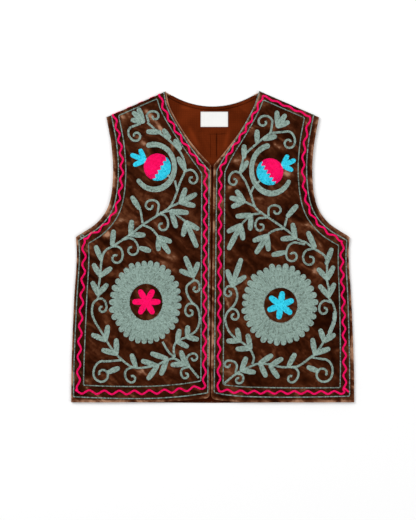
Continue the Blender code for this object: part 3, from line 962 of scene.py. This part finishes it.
class Sewing:
    """Chain stitch of one colour on one front, kept as arrays until it is made into a mesh."""

    def __init__(self, ground, seed, dye=0.54):
        self.ground = ground
        self.dye = dye
        self.random = np.random.default_rng(seed)
        self.places = []
        self.corners = []
        self.tones = []
        self.total = 0

    def add(self, places, corners, tones):
        places[:, 2] = np.maximum(places[:, 2], LOWEST)
        self.places.append(places)
        self.corners.append(corners + self.total)
        self.tones.append(tones)
        self.total += len(places)

    def laid(self, line):
        found = [self.ground.at(across, up) for across, up in line]
        return np.array([point[:] for point, _ in found]), np.array([out[:] for _, out in found])

    def row(self, line, width=ROW_STEP, closed=False, lift=WOOL_LIFT):
        """One row of links along a line."""
        stops = paced(line, LINK_PITCH, closed)
        count = len(stops)
        if count < 2:
            return
        points, outward = self.laid(stops)
        if closed and count > 3:
            ahead = np.roll(points, -1, axis=0) - np.roll(points, 1, axis=0)
        else:
            ahead = np.gradient(points, axis=0)
        ahead /= np.maximum(np.linalg.norm(ahead, axis=1), 1e-9)[:, None]
        sideways = np.cross(outward, ahead)
        swing = self.random.normal(0.0, UNEVEN_TURN, (count, 1))
        ahead, sideways = ahead + sideways * swing, sideways - ahead * swing
        shift = self.random.normal(0.0, UNEVEN_SHIFT, (count, 1)) / 1000
        points = points + outward * lift / 1000 + sideways * shift
        sizes = self.random.normal(1.0, UNEVEN_SIZE, (count, 3))
        sizes = sizes * (LINK_PITCH, width, WOOL_HEIGHT) / 1000
        shape = LINK_PLACES[None, :, :] * sizes[:, None, :]
        axes = np.stack((ahead, sideways, outward), axis=1)
        places = points[:, None, :] + np.einsum("nvk,nkc->nvc", shape, axes)
        corners = LINK_CORNERS[None] + np.arange(count)[:, None, None] * len(LINK_PLACES)
        if self.ground.side < 0:
            corners = corners[:, :, ::-1]
        dye = self.dye + self.random.normal(0.0, UNEVEN_DYE, (count, 1))
        # Painted light and shade: each link is lighter on its top and darker at its ends and sides.
        from_end, from_side = np.abs(LINK_PLACES[:, 0] / 0.68), np.abs(LINK_PLACES[:, 1] / 0.6)
        shade = 0.24 * LINK_PLACES[:, 2] - 0.22 * from_end**4 - 0.12 * from_side**3
        self.add(places.reshape(-1, 3), corners.reshape(-1, 3), (dye + shade[None]).ravel())

    def pad(self, spine, radii, height=PAD_HEIGHT):
        """A flat closed cushion of thread under the rows of a stroke, painted dark as thread in shade.
        """
        spans = np.hypot(*np.diff(spine, axis=0).T)
        reached = np.concatenate(((0.0,), np.cumsum(spans)))
        length, start, end = reached[-1], radii[0], radii[-1]
        rings = max(int((length + start + end) / 3.0), 5)
        shape = bmesh.new()
        bmesh.ops.create_uvsphere(shape, u_segments=8, v_segments=rings, radius=1.0)
        bmesh.ops.triangulate(shape, faces=shape.faces)
        sphere = np.array([vertex.co[:] for vertex in shape.verts])
        corners = np.array([[vertex.index for vertex in face.verts] for face in shape.faces])
        shape.free()
        share = (1 - np.clip(sphere[:, 2], -1, 1)) / 2
        stop = share * (length + start + end) - start
        inside = np.clip(stop, 0.0, length)
        middle = np.stack([np.interp(inside, reached, spine[:, k]) for k in (0, 1)], axis=1)
        slope = np.gradient(spine, axis=0)
        heading = np.stack([np.interp(inside, reached, slope[:, k]) for k in (0, 1)], axis=1)
        heading /= np.maximum(np.hypot(*heading.T), 1e-9)[:, None]
        beyond = stop - inside
        half = np.interp(inside, reached, radii)
        half = np.sqrt(np.maximum(half**2 - beyond**2, 0.0))
        round_it = np.hypot(sphere[:, 0], sphere[:, 1])
        sine = np.divide(sphere[:, 1], round_it, out=np.zeros_like(round_it), where=round_it > 1e-6)
        cosine = np.divide(sphere[:, 0], round_it, out=np.zeros_like(round_it), where=round_it > 1e-6)
        left = np.stack((-heading[:, 1], heading[:, 0]), axis=1)
        flat = middle + heading * beyond[:, None] + left * (half * cosine)[:, None]
        points, outward = self.laid(flat)
        rise = height / 1000 * np.where(sine > 0, sine, 0.5 * sine)
        places = points + outward * rise[:, None]
        if self.ground.side < 0:
            corners = corners[:, ::-1]
        self.add(places, corners, np.full(len(places), PAD_PAINTED_SHADE))

    def fill(self, spine, radii):
        """Nested rows inside a stroke, which is wide by its radii along a spine."""
        spine, radii = np.asarray(spine, float), np.asarray(radii, float)
        rows_across = max(round(2 * radii.max() / ROW_STEP), 1)
        step = 2 * radii.max() / rows_across
        left_open = radii.copy()
        for loop in range(rows_across // 2):
            kept = np.flatnonzero(radii > (loop + 0.5) * step + 0.1)
            if len(kept) < 2:
                break
            part, half = spine[kept], radii[kept] - (loop + 0.5) * step
            ahead = np.gradient(part, axis=0)
            ahead /= np.hypot(*ahead.T)[:, None]
            left = np.stack((-ahead[:, 1], ahead[:, 0]), axis=1)
            turn = np.linspace(0.0, math.pi, 9)[1:-1, None]
            cap_end = part[-1] + half[-1] * (left[-1] * np.cos(turn) + ahead[-1] * np.sin(turn))
            cap_start = part[0] - half[0] * (left[0] * np.cos(turn) + ahead[0] * np.sin(turn))
            there, back_again = part + left * half[:, None], part - left * half[:, None]
            self.row(np.vstack((there, cap_end, back_again[::-1], cap_start)), step, closed=True)
            left_open[kept] -= step
        for stretch in runs(left_open > 0.3 * step):
            if stretch.stop - stretch.start > 1:
                self.row(spine[stretch], step)
        self.pad(spine, radii)

    def stem(self, line, half_width=STEM_HALF_WIDTH):
        """A stalk of two rows side by side."""
        for hand in (-1, 1):
            self.row(beside(line, hand * half_width / 2), half_width)

    def finish(self, motif, thread, slot):
        """Makes the rows and pads into one piece, named for its front and its motif."""
        name = f"{self.ground.name}_{motif}"
        mesh = bpy.data.meshes.new(name)
        places = np.vstack(self.places)
        mesh.from_pydata(places.tolist(), [], np.vstack(self.corners).tolist())
        tone = mesh.attributes.new("tone", "FLOAT", "POINT")
        tone.data.foreach_set("value", np.concatenate(self.tones).astype(np.float32))
        mesh.shade_smooth()
        mesh.materials.append(thread)
        piece = bpy.data.objects.new(name, mesh)
        scene.collection.objects.link(piece)
        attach(piece, "root")


def edge_line(side, edge_name):
    """One edge of a front in millimetres, run on straight at both ends, with the velvet left of it."""
    centre_edge = CENTRE_EDGES[side]
    places = {
        "hem": lambda t: along(HEMS[side], t),
        "side": lambda t: along(OUTER_EDGE, UNDERARM * t),
        "armhole": lambda t: along(OUTER_EDGE, UNDERARM + (1 - UNDERARM) * t),
        "shoulder": lambda t: SHOULDER_TIP.lerp(NECK_POINT, t),
        "neck": lambda t: along(centre_edge, 1 - (1 - NECK_BREAK) * t),
        "centre": lambda t: along(centre_edge, NECK_BREAK * (1 - t)),
    }
    line = np.array([places[edge_name](i / 300)[:] for i in range(301)]) * 1000
    leave, arrive = line[0] - line[1], line[-1] - line[-2]
    run_on = np.arange(1, 41)[:, None]
    before = line[0] + leave / np.hypot(*leave) * run_on[::-1]
    after = line[-1] + arrive / np.hypot(*arrive) * run_on
    return np.vstack((before, line, after))


EDGE_LINES = {
    (side, edge_name): edge_line(side, edge_name) for side in (1, -1) for edge_name in BORDER_EDGES
}
EDGE_SHARES = np.clip((np.arange(381) - 40) / 300, 0.0, 1.0)


def depth_inside(points, line):
    """How far points lie to the left of an edge."""
    ahead = np.gradient(line, axis=0)
    ahead /= np.hypot(*ahead.T)[:, None]
    left = np.stack((-ahead[:, 1], ahead[:, 0]), axis=1)
    gaps = points[:, None, :] - line[None]
    nearest = np.argmin((gaps**2).sum(axis=2), axis=1)
    rows = np.arange(len(points))
    return (gaps[rows, nearest] * left[nearest]).sum(axis=1)


def border_parts(side, ring):
    """A ring inside a front's edges, as one open line for each edge from corner to corner."""
    distances = [getattr(row, ring) for row in BORDERS[side]]
    lines = [EDGE_LINES[side, edge_name] for edge_name in BORDER_EDGES]
    t = EDGE_SHARES
    parts = []
    for i, (start, middle, end) in enumerate(distances):
        inset = start * (2 * t - 1) * (t - 1) + middle * 4 * t * (1 - t) + end * t * (2 * t - 1)
        line = beside(lines[i], inset)
        line = line[depth_inside(line, lines[i - 1]) >= distances[i - 1][2]]
        line = line[depth_inside(line, lines[(i + 1) % 6]) >= distances[(i + 1) % 6][0]]
        parts.append(line)
    return parts


def rounded(ring):
    """A closed ring in even steps, its corners eased over a few millimetres."""
    ring = paced(ring, 1.0, True)
    return sum(np.roll(ring, shift, axis=0) for shift in range(-2, 3)) / 5


TEAL_STOPS = (
    (0.00, (0.038, 0.053, 0.044, 1)),
    (0.30, (0.134, 0.183, 0.157, 1)),
    (0.55, (0.287, 0.393, 0.346, 1)),
    (1.00, (0.420, 0.573, 0.516, 1)),
)


def wool(name, stops):
    """Twisted embroidery wool, toned by how each link took the dye and by light and shade painted on
    it.
    """
    thread = Finish(name, {"Roughness": 0.8, "Specular IOR Level": 0.04})
    place = thread.place()
    fibres = thread.noise(place, 1400.0, 2.0)
    clouds = thread.noise(place, 45.0, 2.0)
    tone = thread.attribute("tone") + fibres * 0.16 + clouds * 0.20 - 0.18
    return thread.dress(Base_Color=thread.ramp(tone, stops), Normal=thread.bump(fibres, 0.0002, 0.5))


teal_wool = wool("teal_wool", TEAL_STOPS)
grounds = {1: Ground(left_front, 1), -1: Ground(right_front, -1)}

for ground in grounds.values():
    sewing = Sewing(ground, 11, OUTLINE_DYE)
    sewing.row(rounded(np.vstack(border_parts(ground.side, "inner"))), OUTLINE_WIDTH, closed=True)
    outer_parts = border_parts(ground.side, "outer")
    if ground.side > 0:
        sewing.row(rounded(np.vstack(outer_parts)), OUTLINE_WIDTH, closed=True)
    else:
        sewing.row(np.vstack((*outer_parts[4:], *outer_parts[:3])), OUTLINE_WIDTH)
        sewing.row(UNDERARM_KNOT, OUTLINE_WIDTH, closed=True)
    sewing.finish("outlines", teal_wool, "teal_thread")

# A pink wave of two chain rows runs between the outlines, all round each front.
# It runs out to the hem corner of the right front, and has a short tail at that of the left.
WAVE_HALF_WIDTH = 1.75
WAVE_CORNER = (254.5, 25.0)
WAVE_TAIL = ((243.6, 27.4), (247.2, 24.5), (251.9, 20.2))
PINK_STOPS = (
    (0.00, (0.36, 0.0010, 0.036, 1)),
    (0.30, (0.76, 0.0020, 0.085, 1)),
    (0.55, (1.00, 0.0035, 0.130, 1)),
    (1.00, (1.00, 0.0120, 0.190, 1)),
)
pink_wool = wool("pink_wool", PINK_STOPS)


def wave_line(side):
    """The ring line swung from side to side, entering and leaving each edge at its part of a wave."""
    lines = []
    for row, part in zip(BORDERS[side], border_parts(side, "wave")):
        spans = np.hypot(*np.diff(part, axis=0).T)
        reached = np.concatenate(((0.0,), np.cumsum(spans)))
        lengths = np.interp(reached[1:], (0, reached[-1]), (row.first_wave, row.last_wave))
        waves_done = np.concatenate(((0.0,), np.cumsum(spans / lengths)))
        part_wave = row.leaves - row.enters
        waves_done *= (max(round(waves_done[-1] - part_wave), 1) + part_wave) / waves_done[-1]
        turns = np.sin(2 * math.pi * (row.enters + waves_done))
        lines.append(beside(part, row.swing * np.arcsin(0.75 * turns) / math.asin(0.75)))
    if side < 0:
        lines.insert(1, np.array([WAVE_CORNER]))
    return rounded(np.vstack(lines))


for ground in grounds.values():
    sewing = Sewing(ground, 12)
    line = wave_line(ground.side)
    for hand in (-1, 1):
        sewing.row(beside(line, hand * WAVE_HALF_WIDTH / 2, closed=True), WAVE_HALF_WIDTH, closed=True)
    if ground.side > 0:
        sewing.stem(smooth_line(WAVE_TAIL), WAVE_HALF_WIDTH)
    sewing.finish("wave", pink_wool, "pink_thread")

# The big rosettes are wheels of teal petals round an open eye that two rows ring.
# Each petal is filled from its rim in, and rims differ a little as handwork does.
ROSETTES = table(
    "side across up half_across half_up eye_at eye_up_at eye_across eye_up petals turn",
    (1, 123.4, 182.0, 71.2, 75.9, 125.7, 180.9, 30.9, 32.4, 33, 0.35),
    (-1, 123.8, 186.5, 67.9, 78.6, 123.2, 186.8, 30.4, 33.9, 33, 0.00),
)
LOBE = 0.84
PETAL_STEPS = 24
PETAL_WIDEST_IN = 6.0
PETAL_SWELL = ((0, 0.78, 1), (1.12, 1.08, LOBE))


def steps(start, end, count):
    """Evenly spaced points of a straight line."""
    return np.linspace(start, end, count)


def half_pitch(petals, aside, sizes):
    """Half the room that each petal has round a ring of these half sizes."""
    return np.hypot(*(sizes * aside).T) * math.pi / petals


for rosette in ROSETTES:
    sewing = Sewing(grounds[rosette.side], 13)
    middle = np.array((rosette.across, rosette.up))
    eye_middle = np.array((rosette.eye_at, rosette.eye_up_at))
    round_eye = np.linspace(0.0, 2 * math.pi, 120, endpoint=False)
    for beyond in (ROW_STEP / 2, ROW_STEP * 1.5):
        sizes = (rosette.eye_across + beyond, rosette.eye_up + beyond)
        ring = np.stack((np.cos(round_eye), np.sin(round_eye)), axis=1) * sizes
        sewing.row(eye_middle + ring, closed=True)
    for i in range(rosette.petals):
        bearing = 2 * math.pi * (i + rosette.turn) / rosette.petals
        out = np.array((math.cos(bearing), math.sin(bearing)))
        aside = np.array((-math.sin(bearing), math.cos(bearing)))
        rim = np.array((rosette.half_across, rosette.half_up)) + sewing.random.normal(0.0, 1.0)
        eye = np.array((rosette.eye_across, rosette.eye_up))
        foot = eye_middle + out * (eye + ROW_STEP + half_pitch(rosette.petals, aside, eye))
        tip = middle + out * (rim - LOBE * half_pitch(rosette.petals, aside, rim))
        share = np.linspace(0, 1, PETAL_STEPS)
        ring_sizes = np.outer(1 - share, eye) + np.outer(share, rim - PETAL_WIDEST_IN)
        radii = half_pitch(rosette.petals, aside, ring_sizes) * np.interp(share, *PETAL_SWELL)
        sewing.fill(steps(foot, tip, PETAL_STEPS), radii)
    sewing.finish("rosette", teal_wool, "teal_thread")

# A star of six petals stands in the eye of each rosette.
# It is turquoise on the left front and pink on the right.
STARS = table(
    "side across up reach turn",
    (1, 125.5, 181.0, 26.2, 22.0),
    (-1, 122.5, 187.2, 26.2, 0.0),
)
TURQUOISE_STOPS = (
    (0.00, (0.003, 0.115, 0.176, 1)),
    (0.30, (0.0125, 0.375, 0.528, 1)),
    (0.55, (0.035, 0.660, 0.880, 1)),
    (1.00, (0.100, 0.830, 0.950, 1)),
)
turquoise_wool = wool("turquoise_wool", TURQUOISE_STOPS)


def compass(degrees):
    return np.array((math.cos(math.radians(degrees)), math.sin(math.radians(degrees))))


for star in STARS:
    sewing = Sewing(grounds[star.side], 14)
    middle = np.array((star.across, star.up))
    for i in range(6):
        out = compass(star.turn + 60 * i)
        radii = np.interp(np.linspace(0, 1, 16), (0, 0.6, 1), (4.6, 5.9, 5.0))
        sewing.fill(middle + steps(out * 4.0, out * (star.reach - 5.0), 16), radii)
    if star.side > 0:
        sewing.finish("star", turquoise_wool, "turquoise_thread")
    else:
        sewing.finish("star", pink_wool, "pink_thread")

# The pomegranates are round and worked in rings, pink and turquoise either side of a jagged seam.
# A turquoise crown of three lobes stands on each.
POMEGRANATES = table(
    "side across up radius seam_across seam_up seam_to_across seam_to_up tooth",
    (1, 105.8, 427.7, 24.8, 89.6, 443.9, 114.2, 408.2, 3.4),
    (-1, 102.3, 436.2, 25.2, 85.3, 453.3, 109.7, 413.5, 2.6),
)
SEAM_TEETH = 5
BESIDE_SEAM = 1.1
CLEAR_OF_SEAM = 1.7
FRUIT_PAD_HEIGHT = 0.35
CROWN_LOBES = table(
    "side across up to_across to_up half_width",
    (1, 130.5, 441.5, 137.4, 455.5, 4.8),
    (1, 131.5, 440.0, 149.5, 448.3, 4.8),
    (1, 131.5, 438.0, 144.8, 431.6, 4.8),
    (-1, 126.5, 451.5, 133.1, 466.2, 4.8),
    (-1, 128.0, 450.0, 148.2, 458.2, 4.8),
    (-1, 127.5, 448.0, 143.2, 441.0, 4.8),
)


class Seam:
    """The jagged seam of a fruit, which has pink rows on its left and turquoise on its right."""

    def __init__(self, fruit):
        self.start = np.array((fruit.seam_across, fruit.seam_up))
        self.run = np.array((fruit.seam_to_across, fruit.seam_to_up)) - self.start
        self.length = np.hypot(*self.run)
        self.run /= self.length
        self.pink_way = np.array((-self.run[1], self.run[0]))
        self.tooth = fruit.tooth

    def height(self, points):
        """How far points lie on the pink side."""
        forward = (points - self.start) @ self.run
        sawtooth = np.abs((forward / self.length * SEAM_TEETH) % 1.0 - 0.5) * 4 - 1
        return (points - self.start) @ self.pink_way - self.tooth * sawtooth

    def beside(self, hand):
        """The jagged line of the row on the pink side, or on the other."""
        sweep = np.linspace(-0.15, 1.15, 131)[:, None]
        straight = self.start + self.run * self.length * sweep
        jagged = straight - self.pink_way * self.height(straight)[:, None]
        return jagged + self.pink_way * hand * BESIDE_SEAM


for fruit in POMEGRANATES:
    ground = grounds[fruit.side]
    middle = np.array((fruit.across, fruit.up))
    seam = Seam(fruit)
    pink_sewing, turquoise_sewing = Sewing(ground, 15), Sewing(ground, 16)
    for sewing, hand in ((pink_sewing, 1), (turquoise_sewing, -1)):
        inset = ROW_STEP / 2
        while inset < fruit.radius:
            bearings = np.linspace(0.0, 2 * math.pi, 361)
            ring = np.stack((np.cos(bearings), np.sin(bearings)), axis=1) * (fruit.radius - inset)
            ring += middle
            for stretch in runs(seam.height(ring) * hand > CLEAR_OF_SEAM):
                if stretch.stop - stretch.start > 4:
                    sewing.row(ring[stretch])
            inset += ROW_STEP
        line = seam.beside(hand)
        inside = np.hypot(*(line - middle).T) < fruit.radius - 1.0
        for stretch in runs(inside):
            sewing.row(line[stretch])
    for sewing, way, half_width in ((pink_sewing, 9.5, 13.5), (turquoise_sewing, -14.5, 9.0)):
        bed = middle + seam.pink_way * way + seam.run * np.array([[-6.0], [6.0]])
        sewing.pad(bed, np.full(2, half_width), FRUIT_PAD_HEIGHT)
    for lobe in CROWN_LOBES:
        if lobe.side == fruit.side:
            spine = steps((lobe.across, lobe.up), (lobe.to_across, lobe.to_up), 16)
            radii = np.interp(np.linspace(0, 1, 16), (0, 0.6, 1), (4.2, lobe.half_width, 4.2))
            turquoise_sewing.fill(spine, radii)
    pink_sewing.finish("fruit_pink", pink_wool, "pink_thread")
    turquoise_sewing.finish("fruit_turquoise", turquoise_wool, "turquoise_thread")

# A thick teal crescent cups each pomegranate, filled from its edge in.
# A short bar of two rows ties the fruit to it.
CRESCENTS = table(
    "side across up half_across half_up start sweep",
    (1, 108.8, 432.0, 37.0, 44.4, 102.5, 226.5),
    (-1, 107.7, 436.6, 37.0, 41.6, 74.0, 248.0),
)
CRESCENT_HALF_WIDTHS = ((0.0, 0.35, 0.7, 1.0), (5.0, 4.3, 5.5, 4.0))
BARS = table(
    "side across up to_across to_up",
    (1, 87.5, 411.0, 80.0, 405.5),
    (-1, 83.5, 421.5, 76.5, 416.5),
)

for crescent, bar in zip(CRESCENTS, BARS):
    sewing = Sewing(grounds[crescent.side], 17)
    bearings = np.radians(crescent.start + np.linspace(0.0, crescent.sweep, 140))
    sizes = (crescent.half_across, crescent.half_up)
    spine = np.stack((np.cos(bearings), np.sin(bearings)), axis=1) * sizes
    spine += (crescent.across, crescent.up)
    sewing.fill(spine, np.interp(np.linspace(0, 1, 140), *CRESCENT_HALF_WIDTHS))
    sewing.stem(steps((bar.across, bar.up), (bar.to_across, bar.to_up), 8))
    sewing.finish("crescent", teal_wool, "teal_thread")

# A teal vine winds from neck to hem on each front, with pairs of leaves and rolled tendrils.
# Stalks are two rows wide, and each leaf is filled from its edge in.
LEAF_HALF_WIDTH = 5.2
LEAF_FOOT = 3.9
LEFT_SPRAYS = table(
    "across up heading opening side_length middle_length",
    (58, 373, 165, 79, 26, 28),
    (71, 348, 226, 81, 29, 0),
    (52, 329.5, 243, 71, 29, 52),
    (153, 306, 144, 84, 28, 0),
    (101, 309.5, 237, 74, 29, 40),
    (212, 229, 98, 68, 28, 0),
    (214, 197, 97, 64, 28, 0),
    (206, 114, 71, 74, 25, 0),
    (189, 91, 60, 79, 30, 0),
    (106, 69, -12, 86, 28, 0),
    (87, 74, -16, 98, 29, 0),
    (53, 61, 30, 78, 27, 0),
    (70, 101, 142, 80, 28, 0),
    (50, 115, 141, 78, 25, 0),
    (36, 218, 71, 74, 31, 53),
)
RIGHT_SPRAYS = table(
    "across up heading opening side_length middle_length",
    (60, 371, 152, 82, 29, 35),
    (77, 355, 219, 67, 33, 0),
    (49, 335, 247, 72, 28, 52),
    (152, 311, 138, 85, 28, 0),
    (100, 307, 236, 70, 26, 37),
    (208, 235, 102, 84, 27, 0),
    (212, 201, 99, 68, 27, 0),
    (198, 116, 61, 76, 29, 0),
    (178, 91, 53, 74, 29, 0),
    (102, 69, -18, 72, 32, 0),
    (84, 82, -25, 87, 33, 0),
    (51, 72, 35, 74, 27, 0),
    (66, 114, 154, 104, 24, 0),
    (47, 122, 142, 100, 22, 0),
    (36, 235, 67, 88, 28, 40),
)
LEFT_LEAVES = table(
    "across up heading length",
    (189, 288, 115, 33),
    (134, 279, 192, 26),
    (138, 345, 49, 29),
    (94.5, 488, 13, 25),
    (82, 482.5, 90, 23.5),
    (58, 454, 90, 24.6),
    (52, 428, 56, 24),
    (210, 258, 70, 31),
    (195, 59, 158, 23),
    (140, 69, 61, 27),
)
RIGHT_LEAVES = table(
    "across up heading length",
    (186, 292, 96, 29),
    (134, 287, 197, 21),
    (136, 360, 58, 27),
    (97, 501, 2, 26),
    (80, 490, 54, 21),
    (60, 470, 58, 21),
    (51, 431, 60, 28),
    (206, 265, 68, 29),
    (193, 57, 158, 23),
    (142, 67, 71, 26),
)
# Each tendril reaches a roll from a bearing off its centre, and turns in round it.
LEFT_TENDRILS = table(
    "across up reach bearing hand roll turn stalk_across stalk_up",
    (94.9, 520.2, 15.3, -7, 1, 10.3, 400, 107.1, 499.4),
    (141.3, 482.0, 21.2, 112, -1, 10.3, 460, 108.6, 499.4),
    (38.8, 411.6, 17.2, 64, 1, 8.5, 400, 51.1, 424.8),
    (116.6, 355.9, 14.0, 184, -1, 9.3, 370, 103.4, 345.5),
    (87.9, 327.6, 15.2, 76, 1, 8.8, 400, 101.1, 343.6),
    (147.0, 273.3, 25.4, 62, 1, 11.0, 450, 170.8, 293.5),
    (179.3, 267.0, 17.4, 86, 1, 11.5, 380, 186.7, 286.1),
    (205.8, 173.5, 16.6, 67, 1, 8.8, 390, 218.6, 186.3),
    (205.4, 54.6, 27.4, 98, -1, 15.0, 500, 183.5, 84.8),
    (145.7, 47.2, 19.1, 75, -1, 9.0, 370, 144.2, 66.3),
    (29.2, 71.2, 16.4, -25, 1, 7.3, 400, 41.9, 55.7),
    (48.3, 44.0, 10.5, 76, -1, 7.5, 360, 44.0, 54.2),
    (39.8, 161.9, 13.2, 122, -1, 8.0, 400, 27.5, 168.2),
    (29.6, 204.3, 12.1, 75, 1, 7.0, 380, 37.0, 215.6),
)
RIGHT_TENDRILS = table(
    "across up reach bearing hand roll turn stalk_across stalk_up",
    (108.4, 530.5, 13.2, 0, 1, 8.5, 380, 118.3, 519.2),
    (142.4, 494.1, 18.0, 64, -1, 9.3, 450, 133.4, 516.8),
    (37.5, 414.8, 18.3, 53, 1, 9.0, 410, 53.1, 427.6),
    (114.5, 365.0, 14.7, 180, -1, 9.5, 380, 102.2, 349.3),
    (93.0, 329.1, 20.6, 72, 1, 10.0, 390, 105.0, 348.4),
    (149.2, 285.0, 21.9, 56, 1, 11.5, 400, 164.6, 302.6),
    (178.0, 269.7, 20.4, 83, 1, 10.5, 400, 185.9, 289.3),
    (204.4, 175.7, 18.4, 68, 1, 7.4, 400, 214.6, 191.6),
    (205.6, 53.6, 25.0, 109, -1, 14.0, 490, 168.9, 79.5),
    (149.8, 47.2, 17.8, 73, -1, 9.0, 370, 146.6, 66.9),
    (36.2, 83.7, 13.0, -35, 1, 8.0, 400, 42.6, 66.3),
    (50.4, 52.9, 12.4, 82, -1, 7.0, 360, 44.7, 66.9),
    (42.1, 168.9, 15.5, 104, -1, 8.0, 390, 33.0, 182.0),
    (31.5, 212.2, 14.9, 76, 1, 6.5, 380, 38.3, 226.6),
)
LEFT_STEMS = (
    ((107, 499.5), (99, 494), (82, 480), (60, 460), (55, 446), (51, 426), (60, 411), (69, 390),
     (78, 363.5), (90, 352), (103, 343), (131, 324), (146, 312.5), (157, 303), (172, 297),
     (187, 286), (206, 273), (211, 258), (211, 229), (214, 214), (214, 195)),
    ((214, 195), (223, 182), (227, 165), (224, 150), (216.5, 131), (210, 122.5), (200, 105.5),
     (189, 91), (180, 84), (159, 69), (142, 67), (125, 67), (104, 72), (83, 72.5), (72, 69),
     (57, 62), (40, 52), (21, 36)),
    ((70, 99), (76, 84), (73, 72)),
    ((50, 115), (70, 101)),
    ((44, 118), (30, 133), (23, 154), (28, 169), (40, 182), (45.5, 197), (42, 212), (35, 216.5)),
    ((79, 363), (58, 373)),
    ((90, 351), (71, 348), (63, 341), (52, 329.5)),
    ((131, 323), (116, 320), (105, 314.5), (101, 309.5)),
    ((133, 326), (137, 343)),
    ((76, 401), (70, 388)),
)
RIGHT_STEMS = (
    ((121, 519), (103, 503), (83, 488), (68, 474), (60, 464), (53.5, 450), (51, 431), (60, 409),
     (65.5, 392), (73, 373), (82, 360), (103, 346.5), (129.5, 329.5), (146.5, 316), (163.5, 304),
     (181, 292.5), (198, 282), (205, 266), (208, 235), (211, 213), (212, 193)),
    ((212, 193), (221, 184), (223, 167), (217, 150), (204, 129), (195.5, 114), (186, 100),
     (172, 84), (153, 69), (138, 65), (119, 67), (102, 70), (96, 74), (83, 80), (70, 82),
     (51, 71), (43, 67), (25.5, 46)),
    ((93, 114), (83, 97), (70, 83)),
    ((70, 85), (72, 101), (66, 114), (47, 122.5)),
    ((43, 125), (30, 135), (24, 154), (28, 176), (38, 186), (47, 201), (48, 216), (36, 227),
     (36, 235)),
    ((82, 361), (60, 371)),
    ((97.5, 351.5), (77, 355), (60, 343), (49, 335)),
    ((129.5, 329.5), (113, 322), (100, 307)),
    ((129.5, 332), (133, 354), (136, 360)),
    ((70, 412), (65.5, 393)),
)
THICK_STEM = ((226, 167), (224, 150), (216.5, 131))
THICK_STEM_HALF_WIDTH = 3.7


def sew_leaf(sewing, base, heading, length, half_width=LEAF_HALF_WIDTH):
    """A round-tipped leaf, widest past its middle."""
    out = compass(heading)
    tip = half_width * 0.82
    spine = np.array(base) + steps(out * LEAF_FOOT * 0.4, out * (length - tip), 20)
    radii = np.interp(np.linspace(0, 1, 20), (0, 0.62, 1), (LEAF_FOOT, half_width, tip))
    sewing.fill(spine, radii)


def tendril_line(tendril):
    """A stalk that runs into a roll, which is round at first and tightens to its middle."""
    points = [(tendril.stalk_across, tendril.stalk_up)]
    count = round(tendril.turn / 18)
    for i in range(count + 1):
        turned = tendril.turn * i / count
        tightened = 1 - 0.7 * ease((turned / tendril.turn - 0.4) / 0.6)
        arriving = bell(turned, 60)
        radius = tendril.roll * tightened + (tendril.reach - tendril.roll) * arriving
        out = compass(tendril.bearing + tendril.hand * turned)
        points.append(out * radius + (tendril.across, tendril.up))
    return smooth_line(points)


for side, sprays, leaves, tendrils, stems in (
    (1, LEFT_SPRAYS, LEFT_LEAVES, LEFT_TENDRILS, LEFT_STEMS),
    (-1, RIGHT_SPRAYS, RIGHT_LEAVES, RIGHT_TENDRILS, RIGHT_STEMS),
):
    sewing = Sewing(grounds[side], 18)
    for stem in stems:
        sewing.stem(paced(smooth_line(stem), 1.0, False))
    for tendril in tendrils:
        sewing.stem(tendril_line(tendril))
    if side > 0:
        spine = smooth_line(THICK_STEM)
        sewing.fill(spine, np.full(len(spine), THICK_STEM_HALF_WIDTH))
    sewing.finish("vine", teal_wool, "teal_thread")

    sewing = Sewing(grounds[side], 19)
    for spray in sprays:
        base = (spray.across, spray.up)
        for hand in (-1, 1):
            sew_leaf(sewing, base, spray.heading + hand * spray.opening / 2, spray.side_length)
        if spray.middle_length:
            sew_leaf(sewing, base, spray.heading, spray.middle_length)
    for leaf in leaves:
        sew_leaf(sewing, (leaf.across, leaf.up), leaf.heading, leaf.length)
    sewing.finish("leaves", teal_wool, "teal_thread")

# A small teal flower like an open hand closes the vine at each shoulder.
# Its three lobes are sewn as leaves are.
FLOWER_LOBES = table(
    "side across up heading length",
    (1, 120, 511, 93, 30),
    (1, 120, 511, 57, 28),
    (1, 120, 511, 23, 24),
    (-1, 128, 520, 70, 28),
    (-1, 128, 520, 43, 28),
    (-1, 128, 520, 10, 24),
)

for ground in grounds.values():
    sewing = Sewing(ground, 20)
    for lobe in FLOWER_LOBES:
        if lobe.side == ground.side:
            sew_leaf(sewing, (lobe.across, lobe.up), lobe.heading, lobe.length)
    sewing.finish("flower", teal_wool, "teal_thread")
